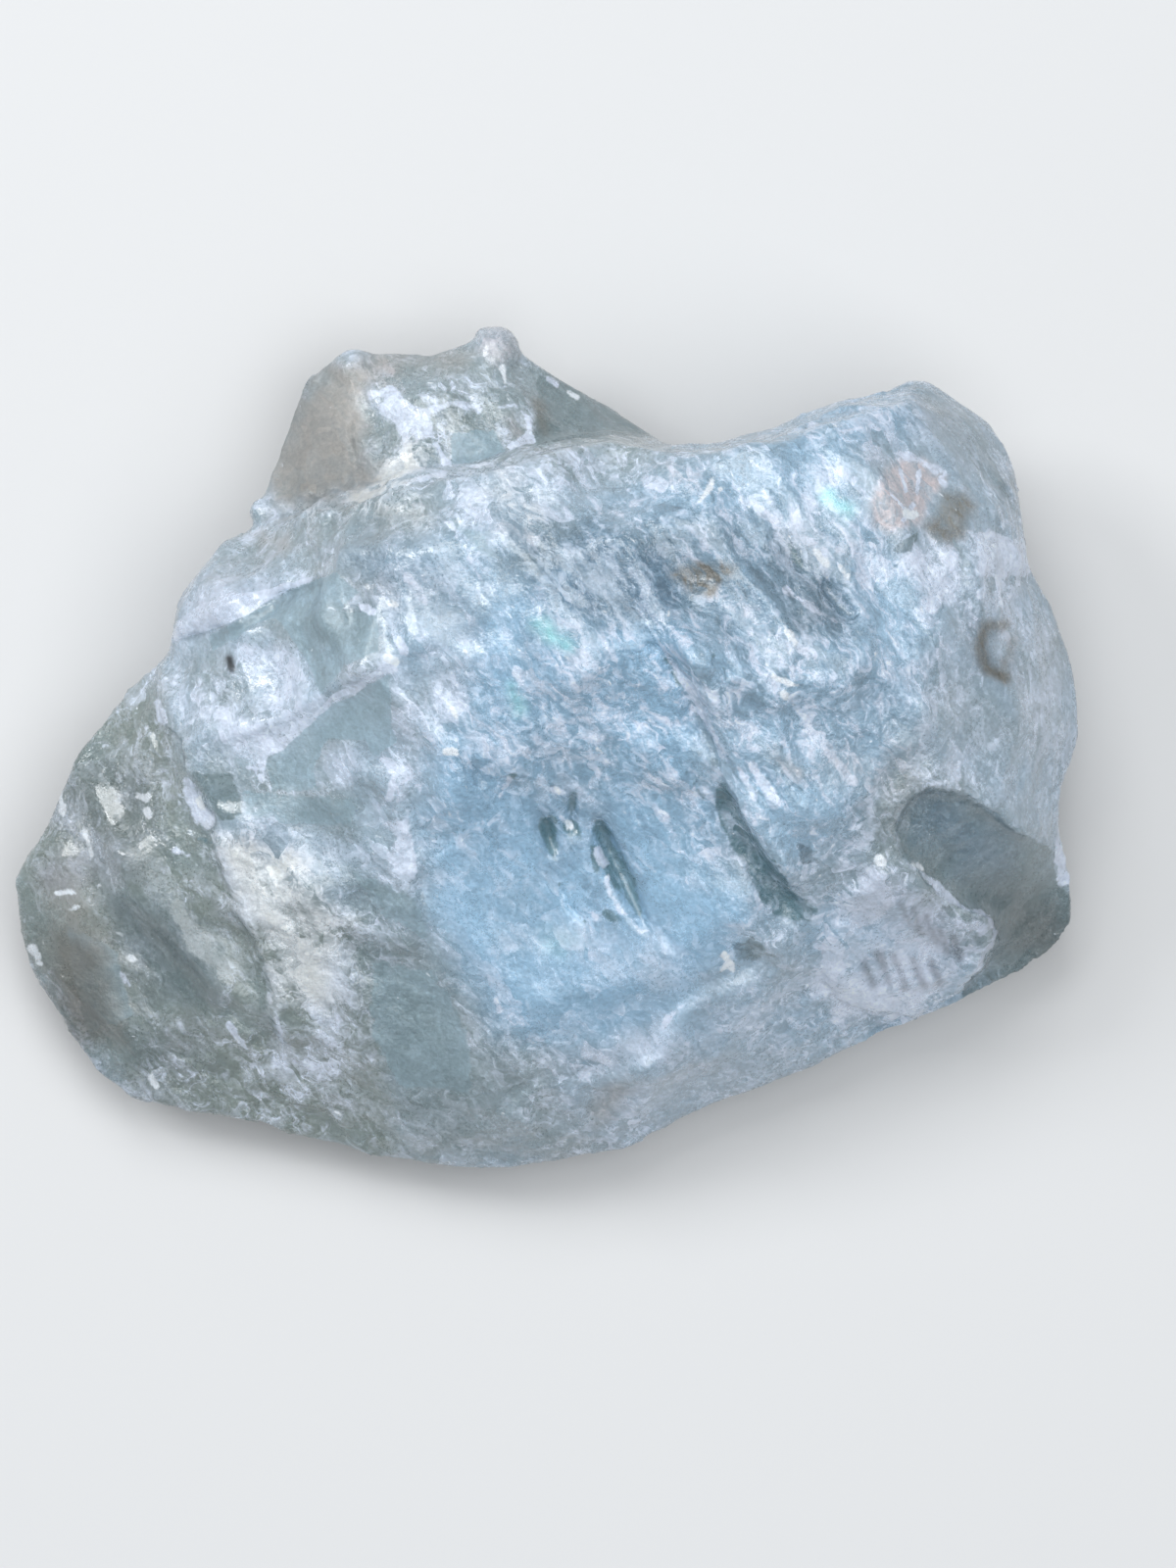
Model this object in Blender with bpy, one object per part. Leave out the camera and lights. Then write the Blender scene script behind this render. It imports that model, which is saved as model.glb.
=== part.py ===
"""Raw beryl: one broken lump of pale blue-green beryl, lying on its flattest fracture face.

Frame: +Z up, +X along the lump's length. The origin is under the middle of the lump's bounding box,
on the face that it rests on. The lump is one solid: a blank is triangulated over surveyed stations,
conchoidal scoops are taken out of its upper side, ledges step across it, and a hackly grain breaks
the faces up, as a hammer would leave them.
"""

import math

import bmesh
import bpy
import numpy as np
from mathutils import Matrix, Vector, noise
from mathutils.geometry import delaunay_2d_cdt

# Driving dimensions, in metres.
LENGTH = 0.0460
WIDTH = 0.0364
HEIGHT = 0.0190

# The survey below is written on a grid of millimetres for a lump of this size.
SURVEY_LENGTH, SURVEY_WIDTH, SURVEY_HEIGHT = 46.0, 36.4, 19.0

VOXEL = 0.22  # mm, the working mesh before it is thinned
FACES = 11600  # triangles left in the solid before the resting face is cut
REST_DEPTH = 1.2  # mm that the underside bulges below the resting face before it is cut flat
MILLIMETRE = 0.001
WELD = 1e-3  # mm, stations closer than this are one
SLIVER = 1e-2  # mm, edges shorter than this are taken out of the finished solid
CROSSING_GAP = 1e-4  # mm, lines of the survey closer than this meet
INSIDE_OUTLINE = 1  # the triangulation keeps what lies inside its outline

# Below the rim the lump turns under: a ring drawn in towards a middle by this share, this share of the
# way down to the resting face.
UNDERSIDE_MIDDLE = (1.0, -0.4)
UNDERSIDE_RING = (0.965, 0.38)
# The resting face, a flat the lump broke along, and the stations of the faces that rise round it: east,
# north and height, in mm.
RESTING_FACE = (
    (-16.4, -6.6), (-13.6, -11.4), (-8.0, -14.4), (-1.0, -15.4), (5.4, -12.6), (11.6, -9.8),
    (17.8, -6.0), (18.4, -0.6), (17.2, 4.4), (14.6, 9.4), (9.0, 9.6), (3.4, 9.0), (-1.4, 12.0),
    (-6.0, 12.6), (-8.8, 8.6), (-12.8, 3.4), (-16.0, -1.4),
)
UNDERSIDE_STATIONS = (
    (-19.8, -4.0, 1.9), (-18.6, -11.0, 1.3), (-13.6, -14.2, 0.9), (-6.0, -16.4, 0.8),
    (3.0, -15.2, 0.9), (12.4, -11.6, 1.2), (20.4, -6.6, 1.5), (20.6, 1.2, 2.4), (19.0, 8.2, 3.6),
    (16.6, 12.6, 3.3), (11.0, 12.6, 3.9), (4.0, 11.6, 2.1), (-3.4, 15.2, 1.4), (-9.2, 14.2, 1.8),
    (-12.4, 8.0, 2.6), (-17.2, 1.6, 1.9),
)

# How far a face must look up, as the height of its normal, to carry the ledges: none below the first,
# all above the second.
LEDGE_SLOPE = (0.10, 0.35)
END_FADE = 0.25  # share of a ledge's line over which it fades out at an open end

# The hackly grain, small scars that meet in sharp ridges: for each size in mm, the tilt of a scar, how
# hollow it is, and a seed.
GRAIN_SIZES = ((3.6, 0.13, 0.26, 3.0), (1.7, 0.13, 0.24, 11.0))
GRAIN_RUN = -55.0  # degrees from east that the stretched cells run
GRAIN_STRETCH = 2.1
GRAIN_SEED_SPREAD = 7.0
SCAR_LEVEL = 0.25  # square of the distance from a scar's middle, in cells, where it neither rises nor falls
UNDERSIDE_GRAIN = 0.9
RIM_CALM = 0.35  # share of the grain left at the outline, which is worn smoother
RIM_REACH = 1.7  # mm in from the outline

# The widest outline, from the west tip round by north: east, north, height, in mm.
RIM = (
    (-23.0, -5.6, 4.2),
    (-22.0, -4.1, 4.6),
    (-21.1, -2.0, 4.8),
    (-20.1, 0.0, 4.8),
    (-18.0, 2.8, 5.0),
    (-16.2, 4.1, 5.6),
    (-15.8, 5.0, 6.4),
    (-15.6, 6.4, 6.4),
    (-14.8, 7.7, 6.2),
    (-13.6, 9.1, 6.2),
    (-12.2, 9.6, 6.0),
    (-11.9, 11.6, 4.8),
    (-11.2, 13.4, 4.6),
    (-10.3, 15.9, 4.6),
    (-9.0, 17.1, 4.8),
    (-6.6, 17.2, 5.2),
    (-5.0, 17.2, 5.2),
    (-3.5, 17.5, 5.2),
    (-1.0, 17.1, 5.0),
    (1.0, 15.8, 4.4),
    (3.0, 14.6, 4.2),
    (4.6, 13.6, 4.6),
    (5.4, 13.3, 7.5),
    (7.0, 13.2, 8.6),
    (10.0, 13.9, 8.8),
    (12.0, 14.8, 8.4),
    (14.6, 15.6, 8.0),
    (15.6, 16.0, 7.8),
    (16.5, 15.9, 7.6),
    (19.0, 14.0, 7.8),
    (19.9, 12.3, 8.0),
    (20.5, 10.3, 8.4),
    (20.9, 7.6, 8.2),
    (22.0, 5.8, 7.2),
    (22.8, 3.5, 6.6),
    (23.0, 0.6, 6.2),
    (22.2, -1.8, 6.2),
    (22.2, -3.5, 5.8),
    (22.8, -5.3, 5.0),
    (22.95, -7.1, 4.2),
    (22.2, -8.6, 3.8),
    (20.5, -9.7, 3.6),
    (18.0, -10.9, 3.8),
    (15.0, -12.1, 3.8),
    (12.0, -13.5, 3.6),
    (9.0, -14.75, 3.4),
    (6.0, -16.0, 3.2),
    (3.2, -17.3, 3.0),
    (0.0, -18.1, 3.0),
    (-3.6, -18.2, 3.0),
    (-7.0, -17.8, 3.0),
    (-9.0, -17.1, 3.0),
    (-11.4, -16.7, 3.2),
    (-12.2, -16.2, 3.4),
    (-15.0, -15.85, 3.2),
    (-17.9, -15.05, 3.2),
    (-19.6, -13.8, 3.2),
    (-21.2, -11.4, 3.4),
    (-22.2, -9.6, 3.6),
    (-22.6, -7.8, 3.8),
)

# Edges between fracture faces, each a line of stations: east, north, height, in mm.
EDGES = {
    "seam_top": (
        (-10.4, 9.8, 9.8), (-8.0, 10.6, 12.6), (-5.0, 11.3, 14.6),
        (-2.0, 12.05, 15.5), (0.5, 12.8, 15.2), (2.8, 13.15, 13.6),
    ),
    "seam_foot": (
        (-10.8, 10.7, 6.8), (-8.2, 11.3, 7.6), (-5.2, 12.0, 8.4),
        (-2.1, 12.8, 8.3), (0.3, 13.5, 7.3), (2.8, 13.85, 5.8),
    ),
    "lobe_spur": ((-2.2, 16.6, 6.6), (-1.6, 15.0, 7.6), (-0.9, 13.3, 8.0)),
    "crest": (
        (-8.6, 8.4, 14.4), (-4.5, 8.6, 16.5), (0.5, 8.4, 17.8), (5.0, 9.4, 17.5),
        (9.0, 9.6, 17.0), (12.5, 10.2, 16.0), (15.2, 10.8, 14.8), (18.2, 10.0, 13.2),
    ),
    "north_brow": (
        (6.0, 12.3, 15.4), (8.2, 12.6, 15.6), (10.6, 13.3, 15.0), (13.2, 14.2, 13.8),
        (15.6, 14.6, 12.0), (17.0, 12.6, 12.8), (18.2, 10.0, 13.2),
    ),
    "east_brow": (
        (18.2, 10.0, 13.2), (18.4, 7.4, 13.4), (19.2, 4.0, 12.8), (20.2, 1.0, 11.2),
        (19.2, -2.5, 11.8),
    ),
    "west_scarp": (
        (-16.5, 2.0, 7.4), (-15.5, 0.3, 8.4), (-14.6, -2.0, 9.0), (-14.0, -4.4, 9.6),
        (-13.4, -6.8, 9.0), (-12.3, -8.8, 8.2), (-11.7, -12.0, 6.2), (-11.3, -15.2, 4.0),
    ),
    "white_band": (
        (-14.4, -0.4, 9.4), (-12.6, 0.4, 10.9), (-10.9, 1.1, 12.2), (-9.0, 2.2, 13.8),
        (-7.2, 3.1, 15.4), (-5.8, 3.6, 16.3),
    ),
    "west_rib": (
        (-6.6, 0.6, 14.3), (-6.1, -1.6, 13.3), (-5.7, -3.4, 12.7), (-5.3, -5.6, 11.6),
        (-5.2, -7.6, 10.6), (-5.4, -10.0, 9.2),
    ),
    "south_brow": (
        (-8.0, -14.2, 6.0), (-3.0, -15.4, 6.2), (1.5, -15.2, 6.6), (5.5, -13.4, 7.0),
        (9.5, -11.8, 7.0), (12.6, -10.8, 6.9), (16.0, -9.8, 6.4),
    ),
    "dark_window": (
        (15.0, -4.3, 12.6), (15.4, -2.5, 13.6), (16.1, -1.6, 13.9), (19.2, -2.5, 11.8),
        (20.6, -3.8, 9.8),
    ),
    "flake_edge": ((15.0, -4.3, 12.6), (17.0, -6.0, 9.9), (19.1, -7.3, 7.6), (18.6, -9.6, 5.8)),
}

# Single stations on the upper faces: east, north, height, in mm.
STATIONS = (
    (-9.6, 13.6, 6.6), (-8.0, 15.6, 6.4), (-5.2, 15.0, 7.6), (-3.6, 16.3, 6.8),  # north-west lobe
    (-14.0, 7.0, 8.4), (-12.2, 5.6, 10.6), (-13.8, 3.0, 9.4), (-9.6, 5.6, 14.0),  # upper ledges
    (-2.0, 4.0, 17.7), (3.0, 4.5, 18.4), (8.0, 4.0, 17.7), (12.5, 3.5, 16.9),  # crown
    (16.0, 4.0, 15.3), (0.0, 0.0, 16.4), (6.0, 0.0, 16.2), (12.0, -2.0, 15.2),  # crown's south
    (9.5, -5.0, 13.4), (0.0, -5.0, 13.6), (11.5, -7.4, 11.0), (0.0, -10.0, 10.6),  # above the bowl
    (6.5, -9.6, 10.2), (-10.5, -2.0, 11.2), (-9.5, -6.0, 10.4), (-8.5, -10.5, 8.4),  # west face
    (-19.0, -1.0, 5.9), (-20.8, -4.6, 5.8), (-17.0, -4.4, 7.4), (-15.0, -7.4, 7.8),  # west lobe
    (-18.8, -8.2, 6.4), (-15.4, -11.4, 6.4), (-20.4, -9.6, 5.2), (-17.4, -13.0, 4.9),
    (-13.4, -14.0, 4.9), (20.6, -6.4, 6.8),
)

# Ledges: a sheet of the lump ends and the next lies lower. Each has its line (east, north) with the high
# ground on its left, then the height of the step, the width of its riser, how far behind the line the
# raised ground reaches, all in mm, and whether each end of the line stays full height.
LEDGES = {
    "upper_sheet": (
        ((-16.4, 4.4), (-15.0, 4.9), (-13.2, 5.6), (-11.3, 6.8), (-9.4, 7.4)),
        0.75, 0.35, 3.0, (True, False),
    ),
    "white_band": (
        ((-15.2, -0.4), (-12.6, 0.4), (-10.9, 1.1), (-9.0, 2.2), (-7.2, 3.1), (-5.8, 3.8)),
        0.70, 0.35, 2.6, (False, True),
    ),
    "west_scarp": (
        (
            (-16.2, 4.2), (-16.7, 3.2), (-16.3, 1.4), (-15.5, 0.2), (-14.8, -1.8), (-14.1, -3.2),
            (-14.3, -4.6), (-13.4, -6.9), (-12.3, -9.2), (-11.6, -12.0), (-11.3, -15.6),
        ),
        0.90, 0.50, 2.2, (True, False),
    ),
    "west_rib": (
        (
            (-5.0, -9.4), (-5.2, -6.6), (-5.3, -5.2), (-5.7, -3.2), (-6.1, -1.8), (-5.5, -1.0),
            (-6.3, 0.6),
        ),
        0.50, 0.40, 1.3, (False, False),
    ),
    "bowl_bank": (
        (
            (3.6, 5.0), (4.8, 3.9), (6.0, 2.8), (6.7, 0.8), (7.3, -1.0), (7.6, -2.4), (8.1, -3.7),
            (8.8, -4.9), (9.5, -6.0), (10.4, -6.9), (11.6, -7.3),
        ),
        1.50, 0.95, 2.8, (False, False),
    ),
    "apron": (
        (
            (10.3, -8.2), (9.9, -9.2), (8.2, -9.7), (6.8, -10.3), (5.7, -10.9), (5.2, -11.8),
            (4.6, -12.8), (3.3, -13.5), (1.8, -14.4),
        ),
        0.50, 0.35, 2.4, (False, False),
    ),
    "east_notch": (((18.2, 7.3), (19.2, 7.4), (20.4, 7.5), (22.0, 7.9)), 0.70, 0.35, 2.0, (False, True)),
}

# Plates: closed outlines (east, north) whose inside stands above the rest, or below it where the height
# is negative, and the width of the step round them, in mm.
PLATES = {
    "flake": (
        (
            (14.2, -4.8), (15.6, -4.7), (16.4, -5.4), (17.2, -6.1), (18.2, -6.8), (19.1, -7.0),
            (19.2, -7.7), (19.5, -8.1), (19.1, -9.2), (18.3, -10.0), (17.4, -11.4), (14.9, -11.9),
            (13.3, -10.9), (12.2, -10.3), (12.0, -8.2), (12.6, -6.2),
        ),
        0.50, 0.35,
    ),
    "dark_window": (
        (
            (16.1, -1.7), (17.6, -1.8), (19.0, -2.5), (20.3, -3.6), (21.6, -3.9), (23.4, -4.3),
            (23.6, -9.6), (19.0, -12.0), (18.3, -10.0), (19.1, -9.2), (19.5, -8.1), (19.1, -7.0),
            (18.2, -6.8), (17.2, -6.1), (16.4, -5.4), (15.2, -4.6), (14.9, -3.4), (15.2, -2.5),
        ),
        -0.85, 0.40,
    ),
    "west_chip": (
        ((-15.6, -0.9), (-15.1, -1.0), (-14.3, -2.6), (-14.3, -3.4), (-14.9, -3.5), (-15.6, -2.2)),
        0.45, 0.25,
    ),
}

# The smooth conchoidal bowl: its station, the slope of its floor per mm east and north, and how fast it
# rises per square mm across and along the way it is turned, in degrees from east.
BOWL_STATION = (0.6, -5.0, 12.1)
BOWL_SLOPE = (0.0, 0.50)
BOWL_RISE = (0.014, 0.024)
BOWL_TURN = 8.0

# Dents: east, north, half length, half width and depth in mm, and the way they run, in degrees.
DENTS = (
    (2.9, -4.5, 2.0, 0.55, 0.75, -62.0),
    (0.3, -3.7, 0.8, 0.40, 0.50, -70.0),
    (1.2, -3.2, 0.9, 0.40, 0.45, -80.0),
    (5.0, 4.0, 1.1, 0.40, 0.40, -50.0),
    (12.4, 6.6, 1.3, 0.60, 0.60, -55.0),
    (10.6, 8.0, 1.2, 0.60, 0.45, -55.0),
    (19.2, 4.3, 1.2, 0.80, 0.60, -60.0),
    (6.6, 7.3, 1.3, 0.90, 0.45, 10.0),
    (15.8, 10.7, 2.0, 1.6, 0.45, 20.0),
    (10.9, -4.2, 1.2, 0.60, 0.50, -50.0),
    (-2.0, -1.0, 1.9, 0.90, 0.40, -40.0),
    (-8.4, 13.6, 2.2, 1.7, 0.70, 30.0),
    (-17.6, -8.0, 2.4, 1.8, 0.35, -40.0),
    (-10.4, -4.2, 2.0, 1.2, 0.50, 20.0),
)

# Round grains fused to the lump: east, north, height of the middle and radius, in mm.
GRAINS = ((-2.1, 17.2, 5.5, 1.05), (-8.2, 16.2, 5.0, 1.15), (-12.0, 10.3, 5.4, 0.65))
GRAIN_FINENESS = 3  # how often an icosahedron is divided for a round grain

# Ground where the grain is calmer or rougher: east, north, reach in mm, and the share of the grain there.
GROUND = (
    (10.0, 5.0, 5.6, 1.60), (-11.0, 4.0, 3.4, 1.25), (-15.0, -8.0, 3.4, 1.25),
    (0.5, -6.5, 6.0, 0.20), (4.5, -9.0, 4.0, 0.25), (2.2, 15.0, 2.4, 0.10), (19.8, -4.8, 3.2, 0.10),
    (20.2, 2.0, 3.6, 0.40), (17.8, 13.4, 2.4, 0.25), (-5.0, -14.4, 3.2, 0.40), (-8.4, 1.2, 2.2, 0.25),
    (-21.6, -6.0, 2.4, 0.35), (13.0, -13.0, 5.0, 0.35), (-2.1, 17.6, 1.6, 0.15), (-8.1, 17.0, 1.5, 0.25),
)

# The stone, as one even material: colour (linear), roughness and metallic.
STONE_COLOUR = (0.42, 0.58, 0.56, 1.0)
STONE_ROUGHNESS = 0.38
STONE_METALLIC = 0.0


def survey_point(east, north, height=0.0):
    """A station of the survey, in mm on the real lump."""
    return (
        east * LENGTH / SURVEY_LENGTH / MILLIMETRE,
        north * WIDTH / SURVEY_WIDTH / MILLIMETRE,
        height * HEIGHT / SURVEY_HEIGHT / MILLIMETRE,
    )


def plan_point(east, north):
    return np.array(survey_point(east, north)[:2])


def blank_mesh():
    """The blank: faces stretched over the stations above the rim and under it."""
    bm = bmesh.new()

    def sheet(outline, lines, singles):
        """One triangulated side of the blank; returns its vertices along the outline."""
        plan, heights = [], []

        def station(east, north, height):
            x, y, z = survey_point(east, north, height)
            for index, known in enumerate(plan):
                if (known - Vector((x, y))).length < WELD:
                    return index
            plan.append(Vector((x, y)))
            heights.append(z)
            return len(plan) - 1

        rim = [station(*point) for point in outline]
        joins = []
        for points in lines:
            ids = [station(*point) for point in points]
            joins += list(zip(ids, ids[1:]))
        for point in singles:
            station(*point)
        found = delaunay_2d_cdt(plan, joins, [rim], INSIDE_OUTLINE, CROSSING_GAP)
        flats, faces, sources = found[0], found[2], found[3]
        if not all(sources):
            raise ValueError("two lines of the survey cross")
        verts = [bm.verts.new((at.x, at.y, heights[own[0]])) for at, own in zip(flats, sources)]
        for face in faces:
            bm.faces.new([verts[i] for i in face])
        index_of = {source[0]: i for i, source in enumerate(sources)}
        return [verts[index_of[i]] for i in rim]

    share, drop = UNDERSIDE_RING
    middle = UNDERSIDE_MIDDLE
    turned_under = [
        (middle[0] + (east - middle[0]) * share, middle[1] + (north - middle[1]) * share, up * (1 - drop))
        for east, north, up in RIM
    ]
    resting = [(east, north, -REST_DEPTH) for east, north in RESTING_FACE]
    upper = sheet(RIM, EDGES.values(), STATIONS)
    lower = sheet(turned_under, [resting + resting[:1]], UNDERSIDE_STATIONS)
    for i, vert in enumerate(upper):
        j = (i + 1) % len(upper)
        bm.faces.new((vert, upper[j], lower[j], lower[i]))
    bmesh.ops.recalc_face_normals(bm, faces=bm.faces)
    for east, north, height, radius in GRAINS:
        place = Matrix.Translation(survey_point(east, north, height))
        bmesh.ops.create_icosphere(bm, subdivisions=GRAIN_FINENESS, radius=radius, matrix=place)
    mesh = bpy.data.meshes.new("blank")
    bm.to_mesh(mesh)
    bm.free()
    return mesh


def changed_mesh(mesh, kind, **settings):
    """A copy of a mesh with one modifier applied."""
    carrier = bpy.data.objects.new("carrier", mesh)
    bpy.context.scene.collection.objects.link(carrier)
    modifier = carrier.modifiers.new(kind, kind)
    for name, value in settings.items():
        setattr(modifier, name, value)
    graph = bpy.context.evaluated_depsgraph_get()
    result = bpy.data.meshes.new_from_object(carrier.evaluated_get(graph))
    bpy.data.objects.remove(carrier)
    return result


def smooth_step(value):
    value = np.clip(value, 0.0, 1.0)
    return value * value * (3 - 2 * value)


def along_line(points, line):
    """For each plan point: its distance to a line, positive on the left, and its share along the line."""
    line = [plan_point(east, north) for east, north in line]
    lengths = [np.linalg.norm(b - a) for a, b in zip(line, line[1:])]
    total = sum(lengths)
    best = np.full(len(points), np.inf)
    signed, share = np.zeros(len(points)), np.zeros(len(points))
    start = 0.0
    for a, b, length in zip(line, line[1:], lengths):
        way = (b - a) / length
        offset = points - a
        on = np.clip(offset @ way, 0, length)
        gap = np.linalg.norm(offset - on[:, None] * way, axis=1)
        left = way[0] * offset[:, 1] - way[1] * offset[:, 0]
        nearer = gap < best
        best = np.where(nearer, gap, best)
        signed = np.where(nearer, np.where(left >= 0, gap, -gap), signed)
        share = np.where(nearer, (start + on) / total, share)
        start += length
    return signed, share


def depth_inside(points, outline):
    """Distance of each plan point to a closed outline, positive inside it."""
    closed = [plan_point(east, north) for east, north in outline]
    gap = np.full(len(points), np.inf)
    inside = np.zeros(len(points), bool)
    for a, b in zip(closed, closed[1:] + closed[:1]):
        way = b - a
        on = np.clip((points - a) @ way / (way @ way), 0, 1)
        gap = np.minimum(gap, np.linalg.norm(points - a - on[:, None] * way, axis=1))
        if a[1] != b[1]:
            spans = (a[1] > points[:, 1]) != (b[1] > points[:, 1])
            crossing = a[0] + (points[:, 1] - a[1]) * (b[0] - a[0]) / (b[1] - a[1])
            inside ^= spans & (points[:, 0] < crossing)
    return np.where(inside, gap, -gap)


def turned(offset, degrees):
    """Plan offsets measured along a direction and across it."""
    c, s = math.cos(math.radians(degrees)), math.sin(math.radians(degrees))
    return offset @ (c, s), offset @ (-s, c)


def relief(points):
    """How much the ledges, plates and dents raise the upper faces at each plan point, in mm."""
    raised = np.zeros(len(points))
    for line, height, riser, reach, whole in LEDGES.values():
        signed, share = along_line(points, line)
        fade = np.ones(len(points))
        if not whole[0]:
            fade *= smooth_step(share / END_FADE)
        if not whole[1]:
            fade *= smooth_step((1 - share) / END_FADE)
        behind = np.exp(-np.maximum(signed - riser, 0) / reach)
        raised += height * fade * smooth_step(signed / riser) * behind
    for outline, height, riser in PLATES.values():
        raised += height * smooth_step(depth_inside(points, outline) / riser)
    for east, north, length, width, depth, turn in DENTS:
        along, across = turned(points - plan_point(east, north), turn)
        raised -= depth * np.exp(-((along / length) ** 2) - (across / width) ** 2)
    return raised


def bowl_floor(points):
    x, y, z = survey_point(*BOWL_STATION)
    offset = points - (x, y)
    across, along = turned(offset, BOWL_TURN)
    return z + offset @ BOWL_SLOPE + BOWL_RISE[0] * across**2 + BOWL_RISE[1] * along**2


def hackle(place):
    """Height of the broken grain at a point in mm: hollow scars, tilted at random, in stretched cells."""
    run = math.radians(GRAIN_RUN)
    along = place.x * math.cos(run) + place.y * math.sin(run)
    across = place.y * math.cos(run) - place.x * math.sin(run)
    ones = Vector((1, 1, 1))
    height = 0.0
    for size, tilt, hollow, seed in GRAIN_SIZES:
        spot = Vector((along / GRAIN_STRETCH, across, place.z)) / size + seed * ones
        scars = []
        for cell in noise.voronoi(spot)[1]:
            away = spot - cell
            lean = noise.cell_vector(cell * GRAIN_SEED_SPREAD) * 2 - ones
            scars.append(tilt * lean.dot(away) + hollow * (away.length_squared - SCAR_LEVEL))
        height += size * min(scars)
    return height


def shaped_mesh(mesh):
    """The blank with its bowl, ledges, plates, dents and grain."""
    count = len(mesh.vertices)
    places, normals = np.zeros(count * 3), np.zeros(count * 3)
    mesh.vertices.foreach_get("co", places)
    mesh.vertices.foreach_get("normal", normals)
    places, normals = places.reshape(-1, 3), normals.reshape(-1, 3)
    points = places[:, :2].copy()
    upper = smooth_step((normals[:, 2] - LEDGE_SLOPE[0]) / (LEDGE_SLOPE[1] - LEDGE_SLOPE[0]))
    cut = np.minimum(bowl_floor(points) - places[:, 2], 0)
    places[:, 2] += (cut + relief(points)) * upper
    grain = np.array([hackle(Vector(place)) for place in places])
    share = np.ones(count)
    for east, north, reach, left in GROUND:
        near = np.exp(-((np.linalg.norm(points - plan_point(east, north), axis=1) / reach) ** 4))
        share *= 1 - (1 - left) * near
    share = np.where(normals[:, 2] > 0, share, UNDERSIDE_GRAIN)
    outline = [(east, north) for east, north, _ in RIM]
    share *= 1 - (1 - RIM_CALM) * np.exp(-((depth_inside(points, outline) / RIM_REACH) ** 2))
    places += normals * (grain * share)[:, None]
    mesh.vertices.foreach_set("co", places.ravel())
    mesh.update()
    return mesh


def finished_mesh(mesh):
    """The lump cut flat where it rests, stood on the origin and brought to its driving dimensions."""
    bm = bmesh.new()
    bm.from_mesh(mesh)
    bmesh.ops.bisect_plane(
        bm, geom=bm.verts[:] + bm.edges[:] + bm.faces[:], dist=WELD,
        plane_co=(0, 0, 0), plane_no=(0, 0, -1), clear_outer=True,
    )
    for vert in bm.verts:
        if vert.is_boundary:
            vert.co.z = 0.0
    bmesh.ops.holes_fill(bm, edges=[edge for edge in bm.edges if edge.is_boundary], sides=0)
    bmesh.ops.dissolve_degenerate(bm, dist=SLIVER, edges=bm.edges)
    lows = Vector([min(vert.co[axis] for vert in bm.verts) for axis in range(3)])
    highs = Vector([max(vert.co[axis] for vert in bm.verts) for axis in range(3)])
    middle = Vector(((lows.x + highs.x) / 2, (lows.y + highs.y) / 2, lows.z))
    for vert in bm.verts:
        for axis, size in enumerate((LENGTH, WIDTH, HEIGHT)):
            vert.co[axis] = (vert.co[axis] - middle[axis]) * size / (highs[axis] - lows[axis])
    bmesh.ops.recalc_face_normals(bm, faces=bm.faces)
    bm.to_mesh(mesh)
    bm.free()
    return mesh


def stone_material():
    stone = bpy.data.materials.new("beryl stone")
    stone.use_nodes = True
    surface = stone.node_tree.nodes["Principled BSDF"]
    surface.inputs["Base Color"].default_value = STONE_COLOUR
    surface.inputs["Roughness"].default_value = STONE_ROUGHNESS
    surface.inputs["Metallic"].default_value = STONE_METALLIC
    stone.diffuse_color = STONE_COLOUR
    return stone


def main():
    for old in list(bpy.data.objects):
        bpy.data.objects.remove(old)
    even = changed_mesh(blank_mesh(), "REMESH", mode="VOXEL", voxel_size=VOXEL)
    broken = changed_mesh(shaped_mesh(even), "REMESH", mode="VOXEL", voxel_size=VOXEL)
    tris = changed_mesh(broken, "TRIANGULATE")
    share = FACES / len(tris.polygons)
    thin = changed_mesh(tris, "DECIMATE", decimate_type="COLLAPSE", ratio=share)
    lump = bpy.data.objects.new("beryl", finished_mesh(thin))
    lump.data.name = "beryl"
    lump.data.materials.append(stone_material())
    bpy.context.scene.collection.objects.link(lump)


main()
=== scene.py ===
"""Raw beryl: the finish of one broken lump of pale blue-green beryl, on a plain studio floor.

The lump's solid gives the form. Here its surface is rebuilt as a fine mesh, broken up by hackly scars and
crisp ledges, and finished as clouded, clear and stained stone, with painted light, shade and glints in its
colour. Places on the lump are given as east and north in millimetres from its middle, and compass words name its
sides.
"""

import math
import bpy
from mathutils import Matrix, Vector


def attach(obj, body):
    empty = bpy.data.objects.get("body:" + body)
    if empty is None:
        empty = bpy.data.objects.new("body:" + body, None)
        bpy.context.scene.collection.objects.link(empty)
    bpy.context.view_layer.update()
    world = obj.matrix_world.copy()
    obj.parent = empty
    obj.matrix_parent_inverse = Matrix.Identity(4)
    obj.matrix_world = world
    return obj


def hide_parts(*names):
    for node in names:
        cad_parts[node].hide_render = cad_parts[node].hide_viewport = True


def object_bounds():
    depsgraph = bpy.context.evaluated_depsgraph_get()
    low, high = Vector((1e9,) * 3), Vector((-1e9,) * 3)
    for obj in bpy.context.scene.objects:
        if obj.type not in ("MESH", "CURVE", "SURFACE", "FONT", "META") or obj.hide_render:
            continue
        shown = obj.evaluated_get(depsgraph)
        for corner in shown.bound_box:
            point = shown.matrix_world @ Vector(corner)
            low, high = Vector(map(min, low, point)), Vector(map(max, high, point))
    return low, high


bl_info = {
    "name": "Raw Beryl",
    "version": (1, 0, 0),
    "blender": (4, 5, 0),
    "location": "3D View > Sidebar > Beryl",
    "description": "Builds the finish of a broken lump of beryl and a plain studio round it",
    "category": "Add Mesh",
}

import bpy
import numpy as np
from mathutils import Vector, noise

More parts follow.
